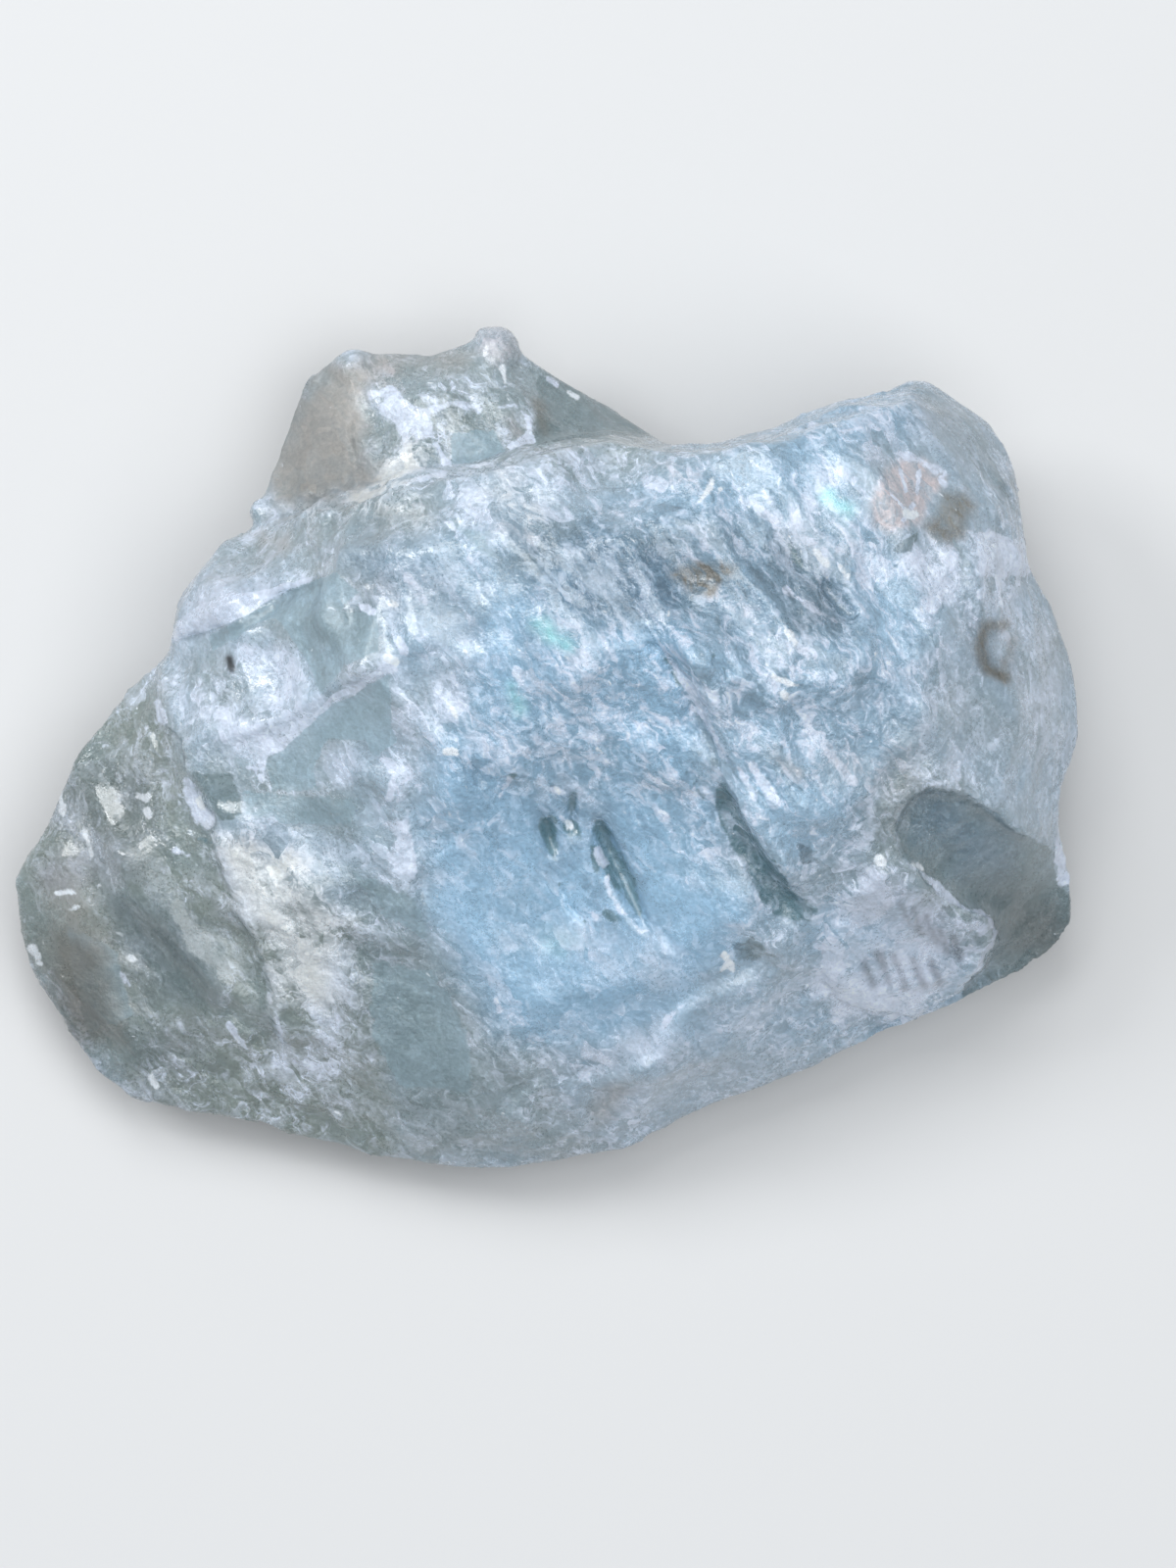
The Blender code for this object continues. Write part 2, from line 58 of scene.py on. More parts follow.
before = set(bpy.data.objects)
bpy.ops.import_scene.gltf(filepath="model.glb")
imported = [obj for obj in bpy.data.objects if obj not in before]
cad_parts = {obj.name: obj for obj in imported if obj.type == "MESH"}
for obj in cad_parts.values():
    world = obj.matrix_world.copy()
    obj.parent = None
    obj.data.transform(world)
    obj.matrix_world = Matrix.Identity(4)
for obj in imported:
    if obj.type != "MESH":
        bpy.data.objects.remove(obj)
CAD_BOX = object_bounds()
NODE = "beryl"
MILLIMETRE = 0.001

# Lines where a sheet of the lump ends, with the high ground on the left: the points (east, north), the
# height of the lip, the width of its riser and how far behind it the lip fades, in mm.
LIPS = {
    "upper sheet": (
        (
            (-16.2, 4.5), (-15.0, 4.9), (-14.0, 5.15), (-13.0, 5.5), (-12.0, 6.15), (-11.0, 6.65), (-9.9, 7.1),
            (-9.2, 7.5),
        ),
        0.16, 0.12, 0.9,
    ),
    "white band": (
        (
            (-12.2, -1.5), (-12.0, -0.4), (-11.0, 0.2), (-10.4, 0.9), (-10.0, 1.2), (-9.2, 1.9), (-8.1, 2.2),
            (-7.6, 2.7), (-6.8, 3.1), (-6.0, 3.4),
        ),
        0.08, 0.10, 0.8,
    ),
    "west scarp": (
        (
            (-16.7, 3.2), (-16.6, 1.8), (-16.3, 1.2), (-15.7, 0.6), (-15.3, 0.0), (-15.2, -0.7), (-14.9, -1.4),
            (-14.7, -2.1), (-14.2, -2.6), (-14.0, -3.1), (-13.9, -4.2), (-13.4, -6.8),
        ),
        0.22, 0.16, 0.8,
    ),
    "rib": (
        (
            (-5.2, -6.0), (-5.3, -4.9), (-5.5, -3.7), (-5.8, -2.9), (-6.0, -2.2), (-5.2, -1.2),
            (-5.0, -0.4), (-5.4, 0.4),
        ),
        0.14, 0.14, 0.6,
    ),
    "apron": (
        (
            (10.0, -8.9), (8.1, -9.6), (6.4, -10.5), (5.3, -11.6), (4.6, -12.8), (3.3, -13.5),
        ),
        0.07, 0.15, 0.6,
    ),
    "flake": (
        (
            (15.0, -4.35), (15.9, -4.9), (16.3, -5.5), (17.1, -6.3), (18.1, -6.9), (19.2, -7.2), (19.4, -8.0),
            (19.2, -8.6), (18.6, -9.5), (18.0, -10.4), (16.0, -11.8), (14.4, -11.6), (13.2, -11.1), (12.1, -10.3),
            (12.0, -8.2),
        ),
        -0.26, 0.12, 1.2,
    ),
    "window": (
        ((21.4, -4.0), (20.0, -3.5), (18.9, -2.6), (18.0, -2.1), (16.9, -1.7), (16.2, -1.6)),
        -0.13, 0.12, 1.0,
    ),
    "seam": (
        (
            (-12.1, 9.6), (-9.0, 10.2), (-8.0, 10.6), (-5.0, 11.3), (-4.2, 11.8), (-1.5, 12.1),
            (0.0, 12.8), (2.5, 13.25), (4.5, 13.35),
        ),
        -0.15, 0.15, 0.8,
    ),
    "bank": (
        (
            (5.2, 5.0), (6.1, 3.4), (6.9, 1.4), (7.4, -1.0), (8.2, -2.4), (9.0, -3.6), (9.9, -4.5),
            (10.3, -5.7), (11.8, -6.6),
        ),
        0.18, 0.20, 0.7,
    ),
}
LIP_RAGGED = 0.22  # mm that the lips wander
LIP_ENDS = 0.12  # share of a lip's length over which it dies out at each end

# Grooves: the points, depth and half width, in mm.
GROOVES = (
    (((7.5, -1.5), (7.8, -3.1), (8.5, -4.5), (9.3, -5.7), (10.3, -6.7), (11.6, -7.0)), 0.42, 0.42),
    (((5.7, 2.7), (6.6, 0.9), (7.5, -1.1)), 0.18, 0.12),
    (((4.2, 4.6), (5.0, 3.7), (5.8, 2.7)), 0.30, 0.18),
    (((7.0, 3.8), (8.0, 3.0)), 0.25, 0.16),
    (((6.1, -0.9), (6.9, -2.0)), 0.20, 0.12),
    (((2.1, -2.8), (2.8, -4.4), (3.4, -5.6), (4.1, -7.2), (4.7, -8.0)), 0.42, 0.28),
    (((0.1, -2.9), (0.2, -3.6), (0.5, -4.6)), 0.30, 0.20),
    (((1.2, -1.8), (1.2, -2.8), (1.3, -3.8)), 0.30, 0.20),
    (((-3.3, -0.6), (-2.4, -1.7)), 0.18, 0.25),
    (((0.6, -5.6), (1.0, -6.7), (1.9, -7.6)), 0.22, 0.12),
    (((5.0, -7.7), (5.6, -8.9)), 0.18, 0.13),
    (((3.4, -1.8), (4.2, -3.4)), 0.14, 0.12),
    (((-4.6, -4.7), (-3.9, -3.8), (-3.5, -3.3)), 0.15, 0.08),
    (((-13.4, 4.9), (-12.2, 5.5), (-11.2, 6.2)), 0.15, 0.12),
    (((11.7, 7.2), (12.6, 6.0), (13.3, 5.4)), 0.40, 0.30),
    (((8.4, -0.9), (9.9, -3.2)), 0.18, 0.10),
    (((9.0, -0.7), (10.5, -3.0)), 0.18, 0.10),
    (((9.7, -0.4), (11.2, -2.6)), 0.16, 0.10),
)

GROOVE_ENDS = 0.2  # the same for a groove

# How broken the ground is: east, north, reach in mm and the share of the scars there. Elsewhere it is 1.
CALM_GROUND = (
    (0.5, -6.5, 6.4, 0.10), (4.5, -9.5, 4.0, 0.10), (2.2, 15.0, 2.6, 0.05), (19.8, -4.8, 3.0, 0.06),
    (20.2, 2.0, 3.8, 0.20), (17.8, 13.6, 2.2, 0.15), (-5.0, -14.6, 3.4, 0.25), (-8.6, 1.4, 2.2, 0.12),
    (-21.4, -6.6, 2.6, 0.30), (-10.6, 14.0, 2.4, 0.25), (6.0, -13.0, 3.6, 0.35), (-2.1, 17.6, 1.4, 0.2),
    (-13.6, -2.0, 1.2, 0.15), (-10.0, 4.0, 6.0, 0.45), (-16.6, -8.0, 4.6, 0.40), (14.6, -8.8, 2.8, 0.40),
    (-9.0, -2.4, 2.4, 0.50), (-13.6, 6.2, 2.2, 0.15), (-19.0, -3.0, 4.0, 0.40), (-3.0, 7.6, 5.0, 0.50),
    (15.6, 10.4, 2.4, 0.70),
)
UNDERSIDE_SHARE = 0.8
UNDERSIDE_TILT = -0.1  # the underside is where the height of the normal is less than this
THINNED = "thinned"  # the vertices of the underside, where the mesh is thinned
# Lips and grooves fade in between these heights of the normal.
UPPER_TILT = (0.05, 0.30)

# Scars: size of one, its tilt and its hollow as shares of the size, and a seed.
SCARS = (
    (1.60, 0.13, 0.11, 5.0),
    (0.70, 0.13, 0.11, 17.0),
)
EVEN_STRETCH = 1.5
STREAK_STRETCH = 4.2
# Where the scars are drawn out along their run: east, north, reach in mm.
STREAKED_GROUND = ((8.0, 6.0, 8.0), (10.0, -1.0, 5.0), (1.0, 8.0, 4.0), (2.0, -3.0, 6.0))
SCAR_RUN = -55.0
SCAR_LEVEL = 0.25
SEED_SPREAD = 7.0
REST_SKIN = 0.05  # below this height, in mm, the skin stays flat to rest on
RIDGE_BEND = 0.05
# Painted rim light: the thin edge is paler, standing in for light that comes through the thin stone, where the skin
# lies lower than this, or is steeper than this, as the height of its normal, below a height; in mm.
RIM_HEIGHT = 3.0
RIM_SLOPE = 0.35
RIM_TOP = 8.0


def plan_distance(points, east, north):
    return np.hypot(points[:, 0] - east, points[:, 1] - north)


def smooth_step(value):
    value = np.clip(value, 0.0, 1.0)
    return value * value * (3 - 2 * value)


def along_line(points, line):
    """For each plan point: its distance to a line, positive on the left, and its share along the line."""
    line = np.array(line, float)
    lengths = np.linalg.norm(np.diff(line, axis=0), axis=1)
    best = np.full(len(points), np.inf)
    signed, share = np.zeros(len(points)), np.zeros(len(points))
    start = 0.0
    for a, b, length in zip(line, line[1:], lengths):
        way = (b - a) / length
        offset = points - a
        on = np.clip(offset @ way, 0, length)
        gap = np.linalg.norm(offset - on[:, None] * way, axis=1)
        left = way[0] * offset[:, 1] - way[1] * offset[:, 0]
        nearer = gap < best
        best = np.where(nearer, gap, best)
        signed = np.where(nearer, np.where(left >= 0, gap, -gap), signed)
        share = np.where(nearer, (start + on) / lengths.sum(), share)
        start += length
    return signed, share


def depth_inside(points, outline):
    """Distance of each plan point to a closed outline, positive inside it."""
    closed = np.array(outline, float)
    gap = np.full(len(points), np.inf)
    inside = np.zeros(len(points), bool)
    for a, b in zip(closed, np.roll(closed, -1, axis=0)):
        way = b - a
        on = np.clip((points - a) @ way / (way @ way), 0, 1)
        gap = np.minimum(gap, np.linalg.norm(points - a - on[:, None] * way, axis=1))
        if a[1] != b[1]:
            spans = (a[1] > points[:, 1]) != (b[1] > points[:, 1])
            crossing = a[0] + (points[:, 1] - a[1]) * (b[0] - a[0]) / (b[1] - a[1])
            inside ^= spans & (points[:, 0] < crossing)
    return np.where(inside, gap, -gap)


# Smooth noise for lines and edges that are not ruled, in layers: the strength, the size in mm and a seed.
WANDERS = {
    "lips": ((1.0, 1.3, 3.0), (0.6, 0.5, 9.0)),
    "patches": ((1.0, 1.6, 21.0), (0.7, 0.6, 27.0)),
    "clouds": ((1.6, 3.4, 41.0), (0.9, 1.4, 47.0)),
}


def wander(places, name):
    """The sum of the layers of one of the wanders at each place, about 0."""
    total = np.zeros(len(places))
    for strength, size, seed in WANDERS[name]:
        start = Vector((seed, 0, 0))
        total += strength * np.array([noise.noise(Vector(place) / size + start) for place in places])
    return total


def scar_heights(places, stretch):
    """Height of the scars at each place: hollows, tilted at random, that meet in sharp ridges."""
    run = math.radians(SCAR_RUN)
    along = places[:, 0] * math.cos(run) + places[:, 1] * math.sin(run)
    across = places[:, 1] * math.cos(run) - places[:, 0] * math.sin(run)
    heights = np.zeros(len(places))
    one = Vector((1, 1, 1))
    for size, tilt, hollow, seed in SCARS:
        spots = np.column_stack((along / stretch, across, places[:, 2])) / size + seed
        for i, spot in enumerate(spots):
            spot = Vector(spot)
            lowest = math.inf
            for cell in noise.voronoi(spot)[1]:
                away = spot - cell
                lean = noise.cell_vector(cell * SEED_SPREAD) * 2 - one
                lowest = min(lowest, tilt * lean.dot(away) + hollow * (away.length_squared - SCAR_LEVEL))
            heights[i] += size * lowest
    return heights


def streakiness(points):
    """How far the scars are drawn out at each plan point, from 0 to 1."""
    share = np.zeros(len(points))
    for east, north, reach in STREAKED_GROUND:
        share = np.maximum(share, np.exp(-((plan_distance(points, east, north) / reach) ** 4)))
    return share


def lip_heights(points, ragged):
    raised = np.zeros(len(points))
    for line, height, riser, fade in LIPS.values():
        signed, share = along_line(points, line)
        signed = signed + ragged
        ends = smooth_step(share / LIP_ENDS) * smooth_step((1 - share) / LIP_ENDS)
        behind = np.exp(-np.maximum(signed - riser, 0) / fade)
        raised += height * ends * smooth_step(signed / riser + 0.5) * behind
    return raised


def groove_depths(points):
    depth = np.zeros(len(points))
    for line, deep, half_width in GROOVES:
        signed, share = along_line(points, line)
        ends = smooth_step(share / GROOVE_ENDS) * smooth_step((1 - share) / GROOVE_ENDS)
        depth = np.maximum(depth, deep * ends * np.exp(-((signed / half_width) ** 2)))
    return depth


def modified_mesh(mesh, *modifiers, thinned=()):
    """A copy of a mesh with modifiers applied, each given as its kind and its settings.

    The vertices in thinned are in the group that a modifier can be held to."""
    carrier = bpy.data.objects.new("carrier", mesh)
    bpy.context.scene.collection.objects.link(carrier)
    group = carrier.vertex_groups.get(THINNED) or carrier.vertex_groups.new(name=THINNED)
    group.add(thinned, 1.0, "REPLACE")
    for kind, settings in modifiers:
        modifier = carrier.modifiers.new(kind, kind)
        for name, value in settings.items():
            setattr(modifier, name, value)
    graph = bpy.context.evaluated_depsgraph_get()
    result = bpy.data.meshes.new_from_object(carrier.evaluated_get(graph))
    bpy.data.objects.remove(carrier)
    return result


def mesh_places(mesh):
    places, normals = np.zeros(len(mesh.vertices) * 3), np.zeros(len(mesh.vertices) * 3)
    mesh.vertices.foreach_get("co", places)
    mesh.vertices.foreach_get("normal", normals)
    return places.reshape(-1, 3) / MILLIMETRE, normals.reshape(-1, 3)


# Patches that colour the lump: for each channel, shapes with their strength from 0 to 1 and how soft their
# edge is in mm. A shape of two or more points with a width is a stroke, one with None is an outline, and
# one point with a width is a round. Milk and crust are white, and clear, pane and facet are see-through
# stone. The channel of the cracks is painted shade in the bottom of cracks and notches, the channel that
# darkens whatever is there is painted shade, glint is painted highlights and flash is painted sheen; the
# others are colours of their own. The finish sharpens the edges of crust, the cracks, pane, facet and glint.
CRISP = 0.35
RULED = 0.18  # for the crisp edges that run straight
# The ribs of the flake, drawn as dark strokes of painted shade.
RIBS = (
    ((15.2, -6.6), (15.6, -7.5)), ((15.75, -6.9), (16.15, -7.9)), ((16.3, -7.2), (16.8, -8.3)),
    ((16.9, -7.7), (17.3, -8.7)), ((17.5, -8.1), (17.8, -9.0)), ((13.7, -9.2), (14.1, -10.1)),
    ((14.3, -8.8), (14.8, -10.0)), ((15.0, -8.9), (15.5, -10.2)), ((15.8, -9.1), (16.3, -10.2)),
    ((16.6, -9.2), (17.0, -10.1)),
)
PATCHES = {
    "milk": (
        (((-16.0, 4.6), (-15.3, 6.6), (-13.6, 7.5), (-11.2, 7.4), (-9.6, 7.4), (-11.0, 6.9), (-14.0, 5.3)),
         None, 0.62, 0.6),
        (((-15.0, 7.6), (-13.0, 9.0), (-11.6, 8.8)), 0.9, 0.30, 1.0),
        (((-3.2, 9.9), (-1.0, 9.3), (0.4, 10.0)), 0.8, 0.45, 0.9),
        (((-3.0, 10.4), (-0.4, 11.4), (2.0, 12.2)), 0.7, 0.55, 0.9),
        (((-16.6, 3.2), (-16.4, 1.6), (-15.2, 0.2), (-14.6, 1.4), (-15.2, 3.6)), None, 0.46, 0.7),
        (((18.3, 9.1), (20.4, 8.8), (20.9, 7.6), (18.5, 7.4)), None, 0.90, 0.4),
        (((-14.2, 1.6), (-13.2, -0.2), (-11.8, -0.8), (-8.8, 1.6), (-9.6, 2.4), (-11.0, 2.0), (-12.6, 1.2)),
         None, 0.80, 0.7),
        (((-12.9, 4.4), (-10.9, 4.4), (-10.1, 3.2), (-9.8, 1.9), (-11.6, 1.8), (-12.4, 2.8)), None, 0.75, 0.5),
        (((-9.2, 1.6), (-7.4, 2.4), (-6.1, 3.2), (-6.5, 4.2), (-8.4, 3.3)), None, 0.75, 0.6),
        (((-8.0, 6.2), (-6.2, 6.3), (-5.2, 7.2), (-6.6, 7.6)), None, 0.40, 0.9),
        (((-5.8, 7.3), (-4.6, 5.6), (-4.4, 4.4)), 0.5, 0.32, 0.8),
        (((-4.0, 8.6), (-1.6, 8.2), (1.6, 9.4)), 0.8, 0.22, 1.2),
        (((-9.2, 0.2), (-8.0, 0.0), (-7.6, -1.4), (-8.8, -1.8)), None, 0.70, 0.5),
        (((-6.9, -0.3), (-5.2, -0.4), (-5.0, -1.4), (-6.2, -2.3)), None, 0.60, 0.5),
        (((-6.3, 3.0), (-5.9, 0.8), (-5.3, 0.2)), 0.45, 0.45, 0.5),
        (((-4.0, 2.2), (-3.2, 3.6), (-1.8, 4.6)), 0.6, 0.45, 1.0),
        (((-3.0, 0.2), (-1.8, -0.2)), 0.3, 0.55, 0.6),
        (((-2.4, 4.2), (1.8, 5.0), (3.6, 1.4), (1.0, -0.3), (-2.0, 0.8)), None, 0.30, 1.2),
        (((0.6, -7.6), (5.4, -7.4), (8.4, -8.0), (6.6, -10.0), (1.4, -10.4)), None, 0.22, 1.4),
        (((4.4, 1.0), (5.4, -0.6), (6.6, -3.2), (7.6, -5.4)), 0.45, 0.35, 0.8),
        (((4.3, -0.4), (4.1, -1.6)), 0.12, 0.7, 0.3),
        (((5.6, 3.2), (6.6, 1.6), (7.4, 0.0)), 0.3, 0.55, 0.6),
        (((7.6, 2.2), (8.8, 0.6), (9.8, -1.2)), 0.7, 0.45, 0.9),
        (((10.0, 2.4), (11.2, 1.2), (12.4, -0.4)), 0.5, 0.55, 0.7),
        (((8.4, 4.6), (9.6, 3.2), (10.6, 1.6)), 0.5, 0.40, 0.8),
        (((10.4, 9.4), (12.0, 11.4), (13.6, 12.4)), 0.7, 0.40, 1.0),
        (((12.6, 8.8), (14.6, 8.4), (14.6, 6.8), (13.2, 6.6)), None, 0.45, 0.7),
        (((15.3, 8.2), (17.4, 8.4), (17.6, 6.0), (15.8, 5.6)), None, 0.75, 0.6),
        (((13.4, 13.6), (15.6, 15.0), (16.4, 13.6)), 0.5, 0.45, 0.9),
        (((16.4, 5.4), (17.2, 2.0), (18.2, -0.8)), 0.9, 0.36, 1.4),
        (((19.4, 6.6), (21.2, 3.6), (21.6, 0.0)), 1.0, 0.42, 1.2),
        (((16.6, -0.6), (18.6, -1.4), (20.6, -2.6)), 0.6, 0.40, 0.9),
        (((13.2, -2.6), (13.5, -4.2)), 0.35, 0.50, 0.6),
        (((12.2, -7.6), (13.4, -5.2), (15.0, -5.2), (17.6, -7.4), (18.6, -8.6), (17.4, -10.6), (15.0, -11.6),
          (12.6, -10.4)), None, 0.80, 0.6),
        (((11.4, -8.8), (11.0, -10.6)), 0.8, 0.30, 1.0),
        (((12.3, -8.8), (12.3, -10.2), (13.6, -11.0), (15.2, -11.1)), 0.8, 1.0, 0.7),
        (((-11.2, -6.3), (-9.4, -7.2)), 0.6, 0.62, 0.8),
        (((-7.2, 10.2), (-5.3, 9.9)), 0.5, 0.20, 0.5),
        (((-8.6, -4.6), (-7.2, -4.6), (-6.2, -5.4)), 0.4, 0.55, 0.6),
        (((-13.8, -3.6), (-11.4, -3.9), (-9.6, -4.6), (-9.6, -5.8), (-12.8, -5.8), (-13.8, -5.0)), None, 0.50, 0.6),
        (((-13.4, -5.2), (-12.4, -7.0), (-11.2, -7.6)), 0.5, 0.65, 0.6),
        (((-9.0, -5.6), (-8.2, -7.4), (-7.0, -8.2), (-7.2, -9.0)), 0.4, 0.50, 0.6),
        (((-11.6, -7.6), (-9.6, -8.4), (-8.0, -8.0), (-8.4, -10.8), (-10.4, -11.2)), None, 0.84, 1.0),
        (((-11.7, -9.8), (-11.3, -11.8), (-11.4, -13.8)), 0.4, 0.50, 0.7),
        (((-9.4, -11.6), (-10.0, -13.6), (-8.8, -15.4)), 0.7, 0.40, 1.0),
        (((-20.6, -2.4), (-19.4, -4.2), (-20.6, -5.6)), 0.7, 0.34, 0.8),
        (((-19.4, -0.6), (-17.6, -0.4), (-16.4, -0.8)), 0.6, 0.18, 1.0),
        (((-17.6, -8.4), (-17.2, -10.6)), 0.3, 0.35, 0.6),
        (((-16.4, -13.0), (-15.0, -12.0)), 0.8, 0.30, 1.0),
        (((-2.4, -9.6), (-1.6, -11.4), (-1.6, -13.4)), 0.35, 0.45, 0.7),
        (((0.6, -13.8), (2.8, -13.0), (4.6, -12.8)), 0.9, 0.50, 0.9),
        (((1.0, -15.6), (3.2, -14.8), (4.0, -16.0)), 0.5, 0.35, 0.9),
        (((6.6, -11.2), (8.6, -11.6), (9.6, -12.8)), 0.5, 0.40, 0.9),
        (((-7.4, 15.4), (-6.4, 14.6)), 0.5, 0.45, 0.6),
        (((-4.6, 15.4), (-3.0, 15.6)), 0.5, 0.35, 0.8),
        (((13.2, 4.2), (15.6, 3.6), (16.0, 1.0), (13.6, 0.6)), None, 0.34, 1.2),
        # Painted light: this stroke lightens the band below the hollow, where the surface turns away from the lamps.
        (((-1.6, -11.4), (1.0, -11.9), (3.6, -11.2)), 0.6, 0.28, 1.0),
        (((13.3, 13.0), (14.6, 13.1), (14.4, 12.2), (13.4, 11.4)), None, 0.70, 0.5),
    ),
    "crust": (
        (((-16.2, 4.5), (-15.0, 4.9), (-14.0, 5.1), (-13.0, 5.55), (-12.0, 6.15), (-11.0, 6.7), (-9.6, 7.3),
          (-11.0, 7.1), (-12.2, 6.75), (-13.4, 6.6), (-14.8, 6.2), (-15.8, 5.4)), None, 1.0, RULED),
        (((-12.2, -0.3), (-11.2, 0.1), (-10.0, 1.25), (-9.2, 1.9)), 0.10, 0.8, RULED),
        (((-9.2, 1.95), (-8.2, 2.3), (-8.3, 2.55), (-8.9, 2.35)), None, 1.0, RULED),
        (((-8.1, 2.45), (-7.0, 3.05), (-6.2, 3.3), (-6.3, 3.65), (-6.9, 3.5), (-7.8, 2.85)), None, 1.0, RULED),
        (((-12.1, -0.4), (-12.0, -1.4)), 0.12, 1.0, CRISP),
        (((-13.0, -0.9), (-12.4, -0.8), (-12.1, -1.3)), 0.10, 1.0, CRISP),
        (((-11.6, 4.1), (-11.0, 3.9), (-10.8, 3.2), (-11.4, 3.4)), None, 1.0, CRISP),
        (((-12.8, 4.25), (-12.5, 4.1)), 0.14, 1.0, CRISP),
        (((-13.9, 0.8), (-13.6, 0.2)), 0.16, 1.0, CRISP),
        (((-15.6, -1.2), (-15.1, -1.2), (-14.6, -2.1), (-14.1, -2.7), (-14.0, -3.2), (-14.4, -3.6), (-15.0, -3.25),
          (-15.6, -2.3)), None, 0.62, CRISP),
        (((-16.6, 2.0), (-16.3, 1.2)), 0.12, 1.0, CRISP),
        (((-7.8, 6.0), (-7.2, 5.75)), 0.12, 1.0, CRISP),
        (((-6.1, 4.6), (-5.9, 4.1)), 0.14, 1.0, CRISP),
        (((-5.8, 7.2), (-5.2, 6.7), (-5.0, 6.1)), 0.12, 1.0, CRISP),
        (((-6.8, -0.5), (-6.3, -1.0), (-6.6, -2.1)), 0.18, 1.0, CRISP),
        (((-6.2, -1.6), (-5.4, -1.1)), 0.12, 1.0, CRISP),
        (((-7.0, -3.05), (-5.75, -2.95), (-5.55, -3.7), (-5.3, -4.9), (-5.25, -5.85), (-5.85, -5.65), (-6.8, -4.8),
          (-6.4, -3.9)), None, 0.72, CRISP),
        (((-13.9, -4.4), (-13.2, -4.6), (-13.4, -5.6)), 0.25, 1.0, CRISP),
        (((-15.8, -4.4), (-15.2, -4.6)), 0.07, 1.0, CRISP),
        (((-15.4, -6.6), (-15.2, -5.7), (-14.6, -5.6)), 0.08, 1.0, CRISP),
        (((0.45, -1.8), (0.85, -1.9)), 0.14, 1.0, CRISP),
        (((0.35, -2.1), (0.6, -2.7), (1.05, -3.35)), 0.05, 0.9, CRISP),
        (((2.3, -4.3), (2.5, -4.9)), 0.08, 1.0, CRISP),
        (((2.65, -5.5), (2.85, -6.2), (3.2, -6.8)), 0.04, 0.9, CRISP),
        (((3.2, -6.8), (3.7, -7.3), (4.1, -7.85), (4.4, -7.75)), 0.06, 0.9, CRISP),
        (((1.7, -6.85), (2.2, -7.2)), 0.08, 1.0, CRISP),
        (((-1.9, -2.0), (-1.5, -1.4)), 0.06, 1.0, CRISP),
        (((8.2, -0.8), (8.9, -2.1)), 0.12, 1.0, CRISP),
        (((8.8, -0.8), (9.3, -1.5), (9.75, -2.3)), 0.20, 1.0, CRISP),
        (((8.35, -2.1), (8.9, -3.1)), 0.10, 1.0, CRISP),
        (((7.3, 0.4), (7.0, -0.6), (7.5, -1.1)), 0.10, 1.0, CRISP),
        (((11.8, 0.2), (12.4, -0.6), (13.1, -1.4)), 0.26, 1.0, CRISP),
        (((13.0, -1.6), (13.7, -1.7)), 0.06, 1.0, CRISP),
        (((9.6, -0.2), (10.4, -1.2)), 0.08, 1.0, CRISP),
        (((10.2, 6.7), (11.2, 6.0), (12.3, 5.3)), 0.09, 1.0, CRISP),
        (((4.9, 4.3), (5.7, 3.1), (6.6, 1.6)), 0.07, 1.0, CRISP),
        (((6.8, 1.4), (7.3, 0.4)), 0.09, 1.0, CRISP),
        (((9.0, 10.1), (9.9, 9.5)), 0.14, 1.0, CRISP),
        (((4.3, 11.4), (5.0, 11.0)), 0.16, 1.0, CRISP),
        (((11.4, 13.7), (12.6, 13.4), (13.5, 13.6)), 0.10, 1.0, CRISP),
        (((18.2, 9.2), (19.0, 9.3), (20.6, 8.8), (21.2, 7.7), (20.6, 7.3), (18.5, 7.3)), None, 1.0, CRISP),
        (((15.9, 7.9), (17.0, 7.0), (16.4, 6.0)), 0.30, 0.9, CRISP),
        (((13.6, 12.2), (14.8, 12.5), (16.2, 12.2), (17.0, 11.2)), 0.09, 0.9, CRISP),
        (((14.2, 11.5), (14.7, 10.7), (15.3, 10.1)), 0.09, 0.9, RULED),
        (((15.1, 11.8), (15.35, 10.9)), 0.08, 0.9, RULED),
        (((15.9, 11.7), (15.8, 10.8)), 0.08, 0.9, RULED),
        (((13.9, 10.5), (14.6, 10.2)), 0.08, 0.9, RULED),
        (((15.6, 10.3), (15.2, 9.6)), 0.12, 0.9, RULED),
        (((16.2, 12.1), (17.0, 11.7)), 0.16, 0.8, CRISP),
        (((12.3, -8.4), (12.4, -9.9), (13.0, -10.5), (13.8, -10.9), (14.6, -11.2)), 0.42, 1.0, CRISP),
        (((15.6, -5.0), (16.3, -5.5), (17.1, -6.3), (18.1, -6.9), (19.1, -7.2), (19.35, -8.0), (19.1, -8.6),
          (18.6, -9.5), (18.2, -10.0)), 0.14, 0.8, CRISP),
        (((18.4, -7.4), (18.8, -7.8)), 0.28, 0.8, CRISP),
        (((22.1, -2.6), (22.5, -3.2), (22.3, -4.1), (23.2, -5.0), (23.2, -5.85), (22.16, -5.97), (21.8, -4.9),
          (21.9, -3.9)), None, 0.75, CRISP),
        (((6.1, -10.7), (6.7, -10.4), (7.4, -10.1), (8.0, -9.7)), 0.03, 0.7, CRISP),
        (((4.6, -12.8), (4.9, -12.2), (5.3, -11.6), (6.0, -10.9)), 0.06, 0.8, CRISP),
        (((5.6, -12.2), (6.2, -12.8)), 0.10, 0.7, CRISP),
        (((7.0, -11.4), (7.6, -12.2)), 0.10, 0.7, CRISP),
        (((-2.1, -10.6), (-1.9, -11.2)), 0.14, 0.9, CRISP),
        (((-13.6, -11.9), (-13.3, -12.3), (-13.0, -12.8), (-12.5, -13.2)), 0.14, 1.0, CRISP),
        (((-11.9, -10.4), (-11.5, -11.4), (-11.4, -12.3), (-11.2, -13.6)), 0.10, 0.9, CRISP),
        (((-18.2, -9.7), (-17.9, -10.2)), 0.18, 0.9, CRISP),
        (((-7.5, 15.2), (-6.6, 15.4), (-6.2, 14.6), (-6.0, 13.8), (-5.9, 12.8), (-6.4, 12.0)), 0.28, 0.9, CRISP),
